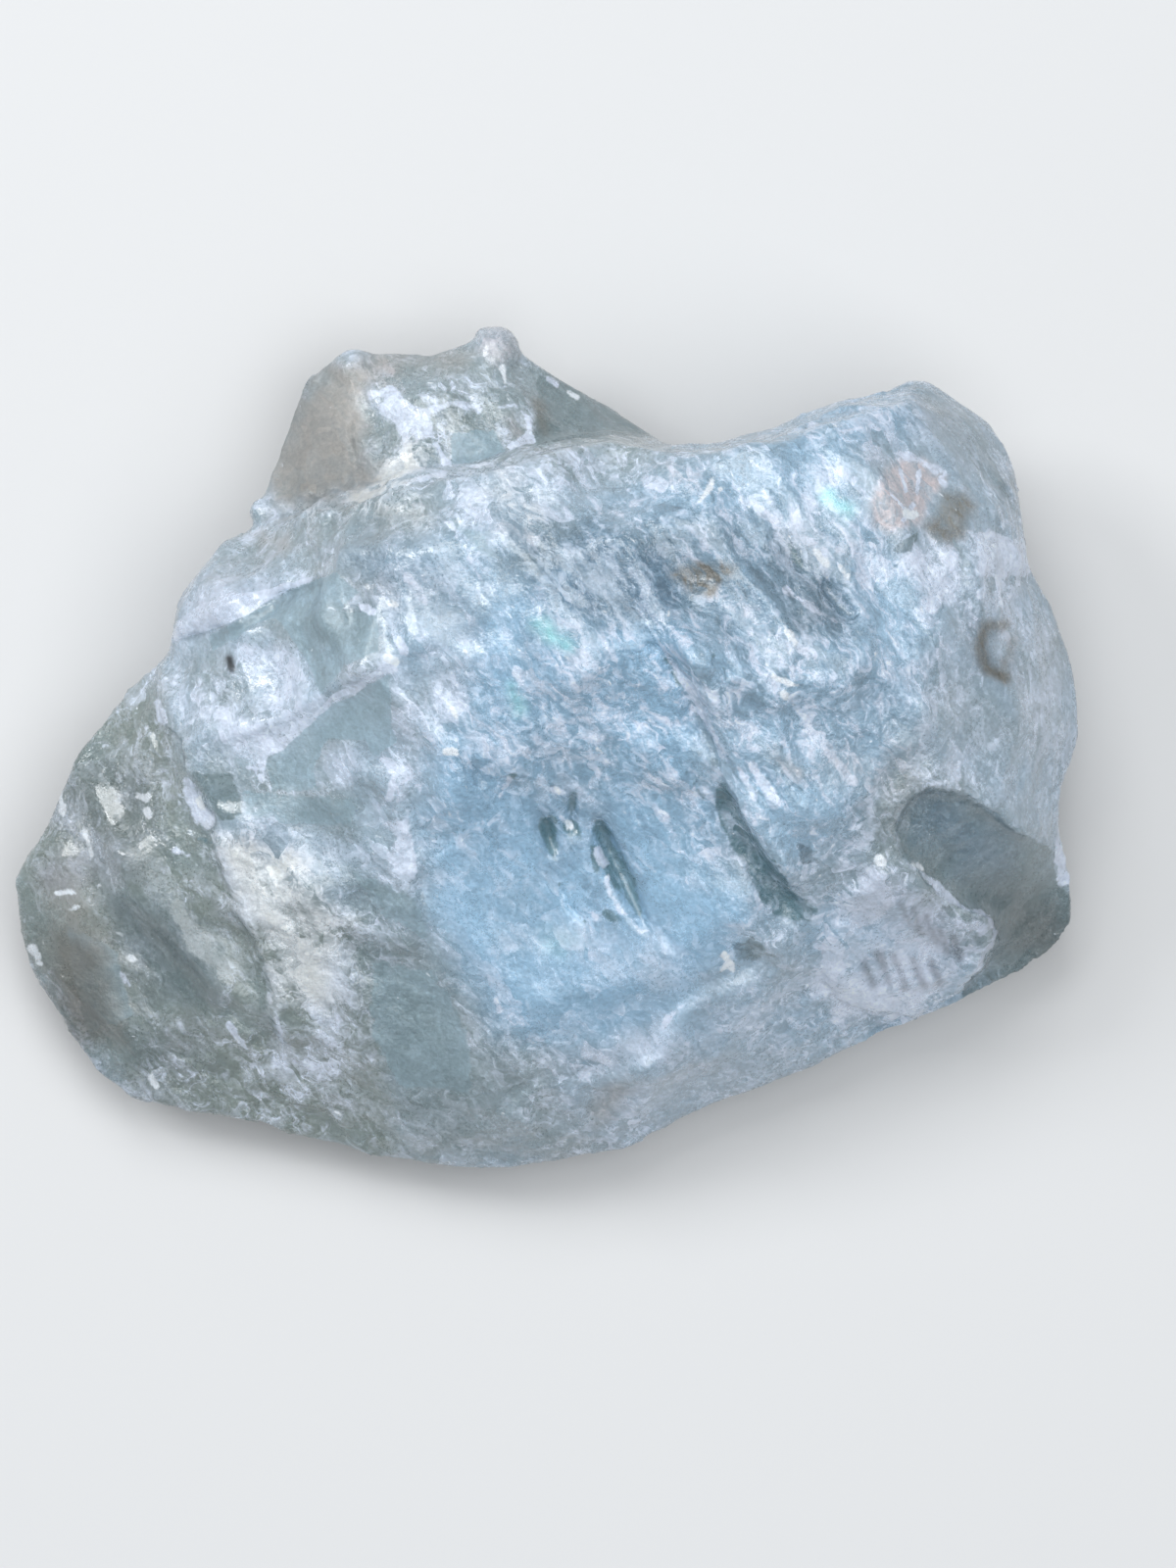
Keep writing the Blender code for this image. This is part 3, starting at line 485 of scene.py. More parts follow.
        (((-7.0, 15.4), (-6.2, 15.2), (-5.0, 14.5), (-4.6, 13.4), (-5.6, 12.9), (-6.2, 13.9), (-7.4, 14.5)),
         None, 0.72, CRISP),
        (((-5.2, 14.4), (-4.0, 14.9), (-2.8, 14.6)), 0.16, 0.8, CRISP),
        (((-4.7, 13.2), (-4.2, 12.2)), 0.18, 0.9, CRISP),
        (((-2.0, 14.6), (-1.3, 14.8), (-0.7, 14.2), (-0.7, 13.2), (-1.4, 13.0)), 0.14, 1.0, CRISP),
        (((-0.2, 16.2), (0.5, 15.7)), 0.10, 0.9, CRISP),
        (((-8.6, 10.5), (-5.9, 11.25), (-4.2, 11.7)), 0.12, 1.0, CRISP),
        (((-3.6, 11.85), (-2.0, 12.2), (-0.6, 12.55)), 0.03, 0.9, CRISP),
        (((-7.9, 10.8), (-7.3, 11.6), (-6.6, 12.6), (-5.7, 13.0), (-5.3, 12.1), (-4.8, 11.8), (-6.2, 11.3)),
         None, 0.72, CRISP),
        (((12.8, -6.4), (13.4, -5.6), (14.6, -5.4), (15.4, -6.2), (14.4, -7.4), (13.2, -8.0)), None, 0.62, CRISP),
        (((16.6, -6.6), (18.0, -7.2), (18.8, -8.0), (17.4, -7.9)), None, 0.70, CRISP),
        (((-4.8, 10.0), (-3.9, 9.3), (-3.2, 8.2), (-2.7, 7.1)), 0.09, 0.9, CRISP),
    ),
    "clear": (
        (((15.6, -2.2), (15.1, -3.0), (15.4, -4.2)), 0.35, 0.95, 0.5),
        (((0.0, -2.6), (0.5, -4.8)), 0.55, 0.60, 0.8),
        (((0.9, -1.4), (1.4, -4.2)), 0.45, 0.55, 0.8),
        (((2.2, -2.6), (3.2, -4.8), (4.3, -7.4)), 0.50, 0.55, 0.8),
        (((2.2, -6.6), (3.4, -8.2)), 0.35, 0.35, 0.5),
        # Painted shade over the crown, given as clear stone: these two patches darken it where less light fell.
        (((-1.4, 8.4), (1.2, 9.4), (5.4, 8.8), (6.4, 6.4), (4.8, 5.0), (1.6, 5.4), (-0.8, 6.6)), None, 0.66, 1.0),
        (((9.0, 9.0), (10.8, 8.8), (12.2, 7.0), (13.2, 5.2), (12.4, 4.2), (10.4, 4.8), (9.2, 6.6)), None, 0.62, 0.8),
        (((5.0, 9.6), (8.2, 9.0), (9.0, 7.0)), 0.8, 0.40, 1.0),
        (((7.6, -2.4), (9.0, -6.0)), 0.30, 0.30, 0.5),
        (((-11.2, 5.9), (-9.0, 6.6), (-6.6, 5.6), (-7.2, 4.2), (-9.6, 4.6)), None, 0.45, 0.7),
        (((-10.4, 4.6), (-9.8, 3.0), (-9.3, 2.3), (-8.9, 2.8), (-9.6, 4.4)), None, 0.55, 0.4),
        (((-14.2, 4.6), (-12.9, 5.2), (-11.8, 5.9)), 0.22, 0.45, 0.4),
        (((-12.8, 1.6), (-12.0, 1.5)), 0.25, 0.60, 0.5),
        (((-15.0, 3.2), (-13.8, 2.4), (-13.0, 2.6)), 0.5, 0.30, 0.7),
        (((-12.6, -1.6), (-8.6, -1.6), (-8.0, -3.0), (-11.6, -3.2)), None, 0.35, 0.8),
        (((-11.8, -0.6), (-11.2, -1.6)), 0.35, 0.55, 0.5),
        (((-7.6, -2.0), (-8.4, -3.4)), 0.5, 0.45, 0.7),
        (((-8.2, -5.8), (-6.0, -6.6)), 0.8, 0.60, 0.9),
        (((-3.7, -0.6), (-2.2, -0.6), (-1.9, -2.0), (-2.6, -2.6)), None, 0.50, 0.6),
        (((-1.4, -1.4), (-1.0, -2.6), (-2.0, -3.6)), 0.5, 0.30, 0.8),
        (((1.9, -5.8), (2.5, -6.3)), 0.30, 0.45, 0.5),
        (((3.4, -2.4), (4.4, -3.6)), 0.35, 0.30, 0.6),
        (((-0.6, 0.4), (0.8, -0.6), (2.2, -1.6)), 0.5, 0.25, 0.9),
        (((7.4, 5.0), (8.6, 2.8), (9.6, 1.6)), 0.30, 0.45, 0.6),
        (((9.9, -0.5), (10.9, -1.2)), 0.35, 0.55, 0.5),
        (((10.3, 8.6), (11.2, 7.4)), 0.45, 0.60, 0.5),
        (((12.0, 6.5), (13.0, 5.6)), 0.40, 0.60, 0.5),
        (((10.8, 5.2), (11.4, 4.6)), 0.30, 0.50, 0.5),
        (((12.5, 3.5), (13.3, 2.9)), 0.35, 0.45, 0.6),
        (((8.6, 12.8), (10.8, 12.6)), 0.6, 0.35, 0.9),
        (((16.0, 15.0), (18.2, 13.4), (19.8, 11.0)), 0.8, 0.50, 0.8),
        (((13.0, -2.0), (14.6, -3.4)), 0.6, 0.30, 0.8),
        (((-19.0, -6.2), (-16.2, -6.0), (-13.8, -8.6), (-13.8, -11.4), (-16.4, -11.0), (-18.4, -8.4)),
         None, 0.88, 0.9),
        (((-12.6, -9.6), (-11.8, -11.6)), 0.45, 0.50, 0.6),
        (((-16.0, -4.6), (-14.4, -5.2)), 0.4, 0.50, 0.6),
        (((-20.4, -10.0), (-17.8, -13.2)), 1.4, 0.50, 1.4),
        (((-20.6, -0.6), (-18.0, -2.0), (-17.0, -4.6), (-18.6, -5.6)), 0.9, 0.40, 1.0),
        (((20.4, -6.6), (21.6, -8.6)), 1.4, 0.45, 1.2),
        (((-8.6, 9.9), (-5.6, 10.2), (-3.6, 9.4)), 0.7, 0.35, 1.0),
        (((-7.2, -9.4), (-5.8, -12.0), (-4.4, -15.0)), 1.9, 0.60, 1.4),
        (((-2.6, -11.4), (-1.4, -14.4)), 0.5, 0.50, 0.7),
        (((-9.6, 14.6), (-8.4, 12.6)), 1.0, 0.25, 1.2),
        (((-3.9, 9.5), (-2.4, 8.8), (-1.8, 7.9)), 0.35, 0.35, 0.6),
        (((19.5, -3.0), (21.4, -3.8)), 0.4, 0.40, 0.6),
        (((13.6, -11.5), (14.6, -12.0)), 0.25, 0.50, 0.4),
    ),
    # Painted shade in the bottom of the crevice, the notches, the thin cracks and the stain's wrinkles.
    "crack_shade": (
        (((1.6, -2.0), (1.9, -2.9)), 0.05, 0.6, CRISP),
        (((7.45, -1.5), (7.75, -1.5), (8.0, -2.15), (8.45, -2.96), (8.7, -3.5), (9.1, -3.88), (9.3, -4.35),
          (9.8, -4.7), (10.2, -5.27), (10.4, -5.97), (10.8, -6.4), (11.7, -6.8), (11.4, -7.5), (10.6, -7.4),
          (9.8, -7.0), (9.15, -6.4), (8.7, -5.6), (8.2, -4.6), (7.8, -3.8), (7.45, -2.96), (7.3, -2.15)),
         None, 0.95, CRISP),
        (((2.03, -2.9), (2.5, -2.98), (2.85, -3.56), (3.0, -4.2), (3.6, -4.87), (3.9, -5.5), (4.07, -6.5),
          (4.3, -7.25), (4.64, -7.9), (4.4, -7.65), (3.75, -6.9), (3.3, -6.3), (2.85, -5.8), (2.5, -5.0),
          (2.4, -4.2), (2.1, -3.65)), None, 0.80, CRISP),
        (((-0.2, -2.9), (0.5, -2.9), (0.45, -3.55), (0.6, -4.3), (0.5, -4.75), (0.1, -4.4), (-0.1, -3.8),
          (-0.3, -3.4)), None, 0.85, CRISP),
        (((1.05, -1.9), (1.45, -1.85), (1.4, -2.4), (1.13, -2.9), (0.9, -2.4)), None, 0.80, CRISP),
        (((0.8, -3.07), (1.55, -3.07), (1.6, -3.9), (1.15, -3.7), (0.75, -3.5)), None, 0.75, CRISP),
        (((2.15, -4.2), (2.25, -5.2)), 0.06, 0.9, CRISP),
        (((2.6, -7.05), (3.3, -7.45)), 0.12, 0.8, CRISP),
        (((3.0, -7.7), (3.5, -8.1)), 0.12, 0.7, CRISP),
        (((0.6, -5.7), (0.8, -6.35), (1.05, -6.75), (1.45, -7.15), (1.8, -7.5)), 0.07, 0.9, CRISP),
        (((5.15, -7.9), (5.4, -8.5), (5.6, -8.8)), 0.06, 0.9, CRISP),
        (((-4.4, -4.6), (-4.0, -4.0), (-3.8, -3.5), (-3.3, -3.4)), 0.02, 0.9, CRISP),
        (((-0.5, -0.3), (-0.85, -0.8), (-1.6, -1.4)), 0.05, 0.8, CRISP),
        (((4.6, 4.4), (5.2, 3.7), (5.8, 2.6)), 0.12, 0.8, CRISP),
        (((6.1, -1.1), (6.5, -1.7), (6.8, -2.1)), 0.08, 0.8, CRISP),
        (((7.1, 3.9), (7.9, 3.0)), 0.10, 0.7, CRISP),
        (((10.4, 8.6), (10.9, 7.6)), 0.14, 0.7, CRISP),
        (((17.9, -8.7), (18.4, -8.9)), 0.12, 0.6, CRISP),
        (((-7.4, -3.8), (-7.2, -4.0)), 0.07, 0.8, CRISP),
        (((14.7, 11.7), (15.05, 10.8), (15.3, 10.4)), 0.08, 0.50, RULED),
        (((15.5, 11.7), (15.6, 10.9)), 0.08, 0.50, RULED),
        (((16.2, 11.5), (16.1, 10.7)), 0.08, 0.50, RULED),
        (((14.1, 10.9), (14.6, 10.5), (15.0, 10.1)), 0.08, 0.50, RULED),
        (((15.75, 9.8), (15.85, 9.4)), 0.05, 0.70, CRISP),
        (((-14.9, -3.9), (-14.2, -4.0)), 0.10, 0.7, CRISP),
        (((2.3, 6.5), (2.5, 6.1)), 0.12, 0.7, CRISP),
    ),
    "pane": (
        (((16.2, -1.6), (16.85, -1.7), (18.0, -2.1), (18.9, -2.6), (19.97, -3.54), (21.1, -3.9),
          (22.0, -4.4), (22.2, -6.0), (24.0, -6.6), (24.0, -10.0), (18.1, -11.6), (18.0, -10.2), (18.6, -9.55),
          (19.16, -8.6), (19.4, -8.05), (19.16, -7.2), (18.1, -6.9), (17.1, -6.3), (16.27, -5.5), (15.9, -4.9),
          (15.6, -4.6), (15.5, -2.9)), None, 1.0, CRISP),
        (((-15.1, -1.05), (-13.1, -0.95), (-12.95, -2.8), (-13.9, -3.15), (-14.5, -2.0)), None, 0.80, CRISP),
        (((8.0, -8.28), (8.98, -7.8), (9.9, -8.86), (8.87, -9.1), (8.17, -8.97)), None, 0.72, CRISP),
        (((10.54, -3.77), (11.2, -4.2), (11.9, -5.0), (11.06, -4.8)), None, 0.80, CRISP),
        (((14.5, 8.2), (15.2, 9.0), (15.95, 9.2), (15.5, 8.3)), None, 0.90, CRISP),
        (((-0.3, 16.6), (1.2, 15.9), (4.8, 13.5), (2.5, 13.3), (-0.2, 12.7), (-0.5, 13.8)), None, 0.85, CRISP),
    ),
    "facet": (
        (((-14.4, 4.9), (-13.0, 5.45), (-12.0, 6.1), (-11.0, 6.65), (-9.8, 7.1), (-8.8, 7.5), (-7.8, 6.6),
          (-8.8, 5.7), (-7.0, 5.8), (-7.0, 4.1), (-8.4, 3.5), (-9.5, 2.2), (-9.8, 3.0), (-10.6, 4.5), (-11.4, 5.5),
          (-12.4, 5.3), (-13.2, 4.6), (-14.2, 4.2)), None, 0.85, RULED),
        (((-11.9, -0.5), (-11.1, 0.0), (-9.9, 1.1), (-8.9, 1.88), (-8.1, 2.2), (-7.0, 2.95), (-6.5, 3.1),
          (-6.45, 0.9), (-6.2, 0.3), (-7.2, -0.4), (-7.6, 0.3), (-9.2, 0.4), (-9.8, -0.8), (-9.6, -1.8),
          (-11.6, -1.8)), None, 0.90, RULED),
        (((-13.0, -1.6), (-9.4, -2.0), (-7.4, -2.2), (-8.2, -3.4), (-10.8, -3.4), (-12.8, -2.9)), None, 0.62, CRISP),
        (((-4.2, 13.7), (-2.2, 13.7), (-1.6, 12.6), (-3.9, 12.1)), None, 0.90, CRISP),
        (((-11.8, 10.6), (-11.4, 14.0), (-9.6, 16.4), (-8.2, 15.6), (-8.6, 13.4), (-8.0, 11.4)), None, 0.70, CRISP),
        (((-4.0, 9.6), (-2.6, 9.2), (-1.7, 7.9), (-3.0, 8.2)), None, 0.70, CRISP),
        (((-8.6, -5.0), (-5.4, -6.2), (-4.6, -8.6), (-6.8, -7.4)), None, 0.62, CRISP),
        (((-7.4, -9.0), (-4.8, -9.4), (-3.2, -12.0), (-3.0, -15.0), (-6.4, -14.6), (-7.6, -12.0)), None, 0.66, CRISP),
        (((-20.8, -7.4), (-18.4, -8.6), (-17.6, -11.6), (-19.8, -12.4)), None, 0.66, CRISP),
    ),
    "green": (
        (((-16.5, 3.0), (-15.4, -0.6), (-14.0, -4.0), (-9.6, -6.0), (-7.4, -7.5), (-6.6, -12.0), (-6.0, -18.0),
          (-16.0, -18.0), (-24.0, -8.0), (-22.0, 2.0)), None, 1.0, 1.2),
        (((-7.6, -6.6), (-4.6, -8.4), (-2.2, -11.6), (0.6, -13.6), (2.0, -18.0), (-7.0, -18.0)), None, 0.55, 1.4),
        (((-13.8, -1.0), (-9.0, -2.6)), 1.0, 0.55, 1.0),
        (((-11.6, 5.2), (-8.2, 5.0), (-7.4, 1.8), (-10.6, -0.4)), 0.9, 0.55, 1.0),
        (((-10.2, 7.6), (-7.6, 6.8)), 0.8, 0.50, 1.0),
        (((-10.4, 14.0), (-4.0, 15.0), (3.0, 14.2)), 2.6, 0.70, 1.2),
        (((16.4, -3.4), (20.4, -7.4)), 2.6, 0.65, 1.0),
        (((-14.4, 3.4), (-13.4, 2.6)), 0.9, 0.40, 0.8),
        (((-7.0, 10.2), (-5.2, 9.9)), 0.4, 0.90, 0.5),
        (((-13.6, 8.4), (-9.0, 9.4), (-5.4, 10.2)), 1.2, 0.55, 1.0),
        (((17.6, 1.6), (20.6, 0.4), (21.4, 4.6)), 1.4, 0.35, 1.2),
    ),
    "blue": (
        (((-4.6, 0.6), (-5.2, -3.6), (-5.0, -6.6), (-3.8, -9.6), (-2.4, -12.6), (2.6, -12.8), (6.0, -10.6),
          (8.4, -8.6), (9.6, -7.0), (8.0, -4.4), (7.0, -1.4), (6.6, 1.0), (6.8, 5.2), (5.6, 8.6), (2.0, 9.6),
          (-1.8, 6.6), (-3.6, 3.0)), None, 1.0, 1.3),
        (((3.0, -12.0), (12.0, -11.4)), 1.2, 0.40, 1.4),
        (((3.0, 10.6), (8.0, 12.4), (12.0, 13.4), (14.4, 9.6), (16.4, 6.0), (16.0, 0.6), (14.0, -2.6), (10.6, -6.0),
          (7.6, -2.0), (5.6, 4.0)), None, 0.65, 1.4),
        (((-8.0, 8.0), (-3.0, 9.6), (0.0, 9.0), (-2.6, 3.6), (-6.0, 3.2)), None, 0.40, 1.2),
        (((12.4, -7.6), (17.6, -8.6), (15.0, -11.4)), 1.6, 0.65, 1.0),
        (((11.0, 12.6), (14.6, 14.6)), 1.4, 0.70, 1.2),
        (((16.6, -2.8), (18.8, -4.4)), 1.1, 0.60, 1.2),
    ),
    "cream": (
        (((-14.2, -3.8), (-10.2, -4.2), (-9.0, -6.0), (-8.6, -8.4), (-9.2, -11.0), (-11.6, -11.0), (-12.6, -7.4)),
         None, 0.90, 1.0),
        (((-7.8, 10.8), (-6.4, 11.6), (-5.6, 12.6)), 0.7, 1.0, 0.5),
        (((-2.0, 11.0), (-0.8, 9.6)), 0.6, 0.90, 0.8),
        (((-10.4, 10.0), (-8.4, 10.6)), 0.4, 0.50, 0.6),
        (((-7.4, 10.2), (-5.2, 9.9)), 0.6, 0.90, 0.6),
    ),
    "tan": (
        (((-10.8, 15.0), (-9.4, 16.6), (-7.6, 16.2), (-7.8, 13.6), (-7.2, 11.4), (-11.8, 10.2), (-12.2, 11.6)),
         None, 1.0, 0.8),
        (((-7.2, 16.8), (-3.6, 16.8)), 0.5, 0.60, 0.6),
        (((-20.6, -5.6), (-20.0, -9.0)), 0.9, 0.45, 1.0),
        (((3.2, -14.6), (2.4, -15.6)), 0.4, 0.60, 0.6),
        (((12.4, -0.6), (14.6, -1.4), (15.4, 0.2)), 0.8, 0.35, 1.2),
        (((-12.0, 9.0), (-11.2, 8.8)), 0.3, 0.60, 0.5),
        (((9.6, -0.4), (10.8, -1.0)), 0.3, 0.50, 0.5),
    ),
    "stain": (
        (((-7.6, 16.6), (-6.8, 15.6)), 0.4, 0.45, 0.6),
        (((13.7, 10.2), (14.0, 11.3), (14.8, 12.2), (16.2, 12.4), (17.0, 11.5), (16.6, 10.8), (16.2, 10.2),
          (15.9, 9.4), (14.6, 9.0), (13.9, 9.5)), None, 1.0, 0.3),
        (((5.2, 11.8), (6.3, 11.2)), 0.35, 0.35, 0.5),
        (((-0.9, 3.6), (-0.2, 2.9)), 0.4, 0.40, 0.6),
        (((1.2, 4.4), (1.3, 3.8)), 0.2, 0.40, 0.4),
        (((-2.1, 17.5),), 0.9, 0.60, 0.4),
        (((-7.0, 16.6), (-6.5, 16.2)), 0.25, 0.70, 0.4),
        (((-1.5, 14.2), (-1.2, 13.6)), 0.2, 0.50, 0.4),
    ),
    "brown": (
        (((16.9, 10.9), (17.9, 10.9), (18.4, 10.3), (18.0, 9.6), (18.0, 8.8), (17.3, 8.6), (16.4, 8.9), (16.1, 9.4),
          (16.6, 10.0)), None, 0.80, 0.35),
        (((5.4, 7.3), (6.0, 7.8), (7.4, 7.8), (8.1, 7.5), (7.3, 6.9), (7.1, 6.5), (6.2, 6.6)), None, 0.90, 0.35),
        (((19.6, 5.3), (18.8, 5.2), (18.5, 4.3), (18.8, 3.4), (19.6, 3.0)), 0.24, 1.0, 0.22),
        (((20.0, 4.6), (19.6, 3.6)), 0.16, 0.75, 0.3),
        (((-0.4, 14.9), (-0.1, 13.9)), 0.25, 0.80, 0.35),
        (((-21.6, -7.6), (-19.0, -8.4), (-18.3, -10.0), (-18.3, -12.4), (-20.0, -12.8), (-21.4, -10.6)),
         None, 0.72, 0.9),
        (((20.6, -7.0), (21.8, -8.4)), 0.8, 0.35, 1.0),
        (((-20.4, -6.4), (-19.2, -7.8)), 0.6, 0.40, 0.9),
        (((-10.9, 10.9), (-8.8, 10.6)), 0.4, 0.35, 0.6),
    ),
    # Painted highlights: glints of light off small facets, put in the colour as near-white strokes.
    "glint": tuple(
        (line, width, 1.0, CRISP)
        for line, width in (
            (((11.5, 8.3), (12.0, 7.7)), 0.13),
            (((15.35, 9.95), (15.55, 9.85)), 0.20),
            (((12.5, 7.6), (12.9, 7.2)), 0.11),
            (((10.1, 5.1), (10.6, 4.4)), 0.12),
            (((9.6, 3.0), (10.7, 2.6)), 0.06),
            (((10.0, 2.3), (10.6, 1.7)), 0.10),
            (((7.2, 11.4), (6.5, 10.2)), 0.13),
            (((7.5, 11.0), (7.0, 10.2)), 0.05),
            (((7.7, -8.85), (8.0, -9.4)), 0.12),
            (((7.5, -9.5), (7.7, -9.3)), 0.08),
            (((-20.9, -2.0), (-20.75, -2.9)), 0.10),
            (((-21.2, -2.0), (-20.7, -1.8)), 0.06),
            (((-17.4, -2.0), (-17.1, -2.1)), 0.12),
            (((-17.1, -2.7), (-17.0, -2.9)), 0.09),
            (((-19.8, -3.6), (-19.5, -4.6)), 0.07),
            (((-21.0, -6.2), (-20.0, -6.2), (-19.2, -5.9)), 0.06),
            (((-20.9, -6.9), (-20.0, -6.8)), 0.05),
            (((-22.2, -8.6), (-21.9, -9.0)), 0.10),
            (((-22.3, -9.4), (-21.8, -9.3)), 0.06),
            (((-6.6, 3.8), (-6.3, 3.6)), 0.10),
            (((-14.8, -2.2), (-14.6, -2.5)), 0.10),
            (((14.2, -4.7), (14.45, -4.85)), 0.15),
            (((15.7, -4.9), (16.1, -5.15)), 0.10),
            (((17.0, 0.8), (17.15, 0.2)), 0.08),
            (((14.0, 4.0), (14.0, 3.7)), 0.06),
            (((-17.9, -9.0), (-17.7, -9.1)), 0.09),
            (((-17.0, -14.2), (-16.8, -14.6)), 0.10),
            (((2.25, -0.05), (2.45, -0.25)), 0.12),
            (((-4.2, -0.12), (-3.85, -0.12)), 0.09),
            (((-3.9, 1.7), (-3.7, 1.3)), 0.12),
            (((-3.4, 4.1), (-3.2, 3.9)), 0.10),
            (((-7.6, 6.9), (-7.3, 6.85)), 0.08),
            (((-6.5, 6.1), (-6.2, 6.0)), 0.07),
            (((-1.8, 16.4), (-1.6, 15.2)), 0.07),
            (((1.0, 15.4), (1.4, 15.1)), 0.08),
            (((-11.6, -4.4), (-11.0, -4.4)), 0.05),
            (((0.55, -1.75), (0.7, -1.95)), 0.08),
            (((0.95, -3.1), (1.05, -3.35)), 0.06),
        )
    ),
    # Painted shade: darkens the stone where less light fell on it, in broad patches, along the ribs of the flake and
    # in a thin line under the lip of the upper sheet.
    "painted_shade": (
        *((line, 0.17, 0.48, RULED) for line in RIBS),
        (((-10.6, 15.2), (-9.6, 11.6)), 1.6, 0.20, 1.0),
        (((-15.0, 6.2), (-12.4, 7.0)), 1.2, 0.12, 1.0),
        # Painted shadow: a thin dark line under the lip of the upper sheet.
        (((-14.1, 4.85), (-12.9, 5.3), (-11.9, 5.9), (-10.9, 6.45), (-9.9, 6.95)), 0.14, 0.24, 0.3),
        (((-7.4, 8.0), (-4.0, 5.8)), 1.4, 0.25, 1.2),
        (((-2.0, 9.6), (6.0, 10.0), (13.2, 8.8), (13.4, 4.2), (9.0, 4.2), (5.0, 4.8), (-0.6, 4.6)), None, 0.27, 1.4),
        (((13.6, 14.4), (17.0, 13.4)), 1.4, 0.10, 1.2),
        (((-21.2, -1.0), (-16.8, -0.6), (-16.6, -5.8), (-21.6, -5.8)), None, 0.30, 1.2),
        (((-18.6, -6.2), (-14.8, -6.2), (-14.0, -10.8), (-18.4, -10.8)), None, 0.22, 1.2),
        (((-22.8, -6.8), (-19.4, -7.6), (-18.4, -11.0), (-19.2, -13.6), (-22.0, -12.0)), None, 0.28, 1.2),
        (((-19.4, -11.2), (-14.4, -11.0), (-14.4, -14.8), (-18.8, -14.8)), None, 0.15, 1.2),
        (((19.6, -7.0), (22.4, -8.8)), 1.6, 0.26, 1.2),
        (((14.4, -6.4), (16.0, -6.8), (17.4, -8.2)), 0.9, 0.17, 0.9),
        (((-12.4, -4.9), (-10.2, -5.0)), 0.8, 0.12, 0.8),
        (((18.7, 5.0), (18.7, 3.8), (19.6, 3.3)), 0.6, 0.26, 0.6),
    ),
    "speck": (
        (((-13.45, 3.85), (-13.35, 3.45)), 0.13, 1.0, 0.12),
    ),
    # Painted sheen: the blue-green flash of light off thin cracks, put in the colour.
    "flash": (
        (((-0.1, 5.2), (0.4, 4.7), (0.9, 4.4)), 0.32, 1.0, 0.4),
        (((-1.4, 2.5), (-1.0, 1.7)), 0.25, 0.9, 0.35),
        (((12.0, 10.6), (12.8, 10.1)), 0.3, 0.8, 0.4),
        (((0.7, -8.2),), 0.5, 0.25, 0.8),
    ),
}
PATCH_WANDER = 0.45  # mm that the edges of the patches wander
SOFT_WANDER = 1.2  # share of that for an edge 1 mm soft, up to the whole


def patch_strength(points, ragged, shapes):
    """The strongest of a channel's patches at each plan point."""
    strongest = np.zeros(len(points))
    for outline, width, strength, soft in shapes:
        if width is None:
            depth = depth_inside(points, outline)
        elif len(outline) == 1:
            depth = width - plan_distance(points, *outline[0])
        else:
            depth = width - np.abs(along_line(points, outline)[0])
        depth = depth + ragged * min(1.0, soft * SOFT_WANDER)
        strongest = np.maximum(strongest, strength * smooth_step(0.5 + depth / (2 * soft)))
    return strongest


def brokenness(points, normals):
    """The share of the scars at each plan point of the top, and on the underside."""
    share = np.ones(len(points))
    for east, north, reach, left in CALM_GROUND:
        near = np.exp(-((plan_distance(points, east, north) / reach) ** 4))
        share *= 1 - (1 - left) * near
    return np.where(normals[:, 2] > 0.0, share, UNDERSIDE_SHARE)


class Value:
    """A socket in a shader; sums on it add their Math nodes."""

    def __init__(self, bench, socket):
        self.bench, self.socket = bench, socket

    def __add__(self, other):
        return self.bench.maths("ADD", self, other)

    def __sub__(self, other):
        return self.bench.maths("SUBTRACT", self, other)

    def __rsub__(self, other):
        return self.bench.maths("SUBTRACT", other, self)

    def __mul__(self, other):
        return self.bench.maths("MULTIPLY", self, other)

    __radd__ = __add__
    __rmul__ = __mul__


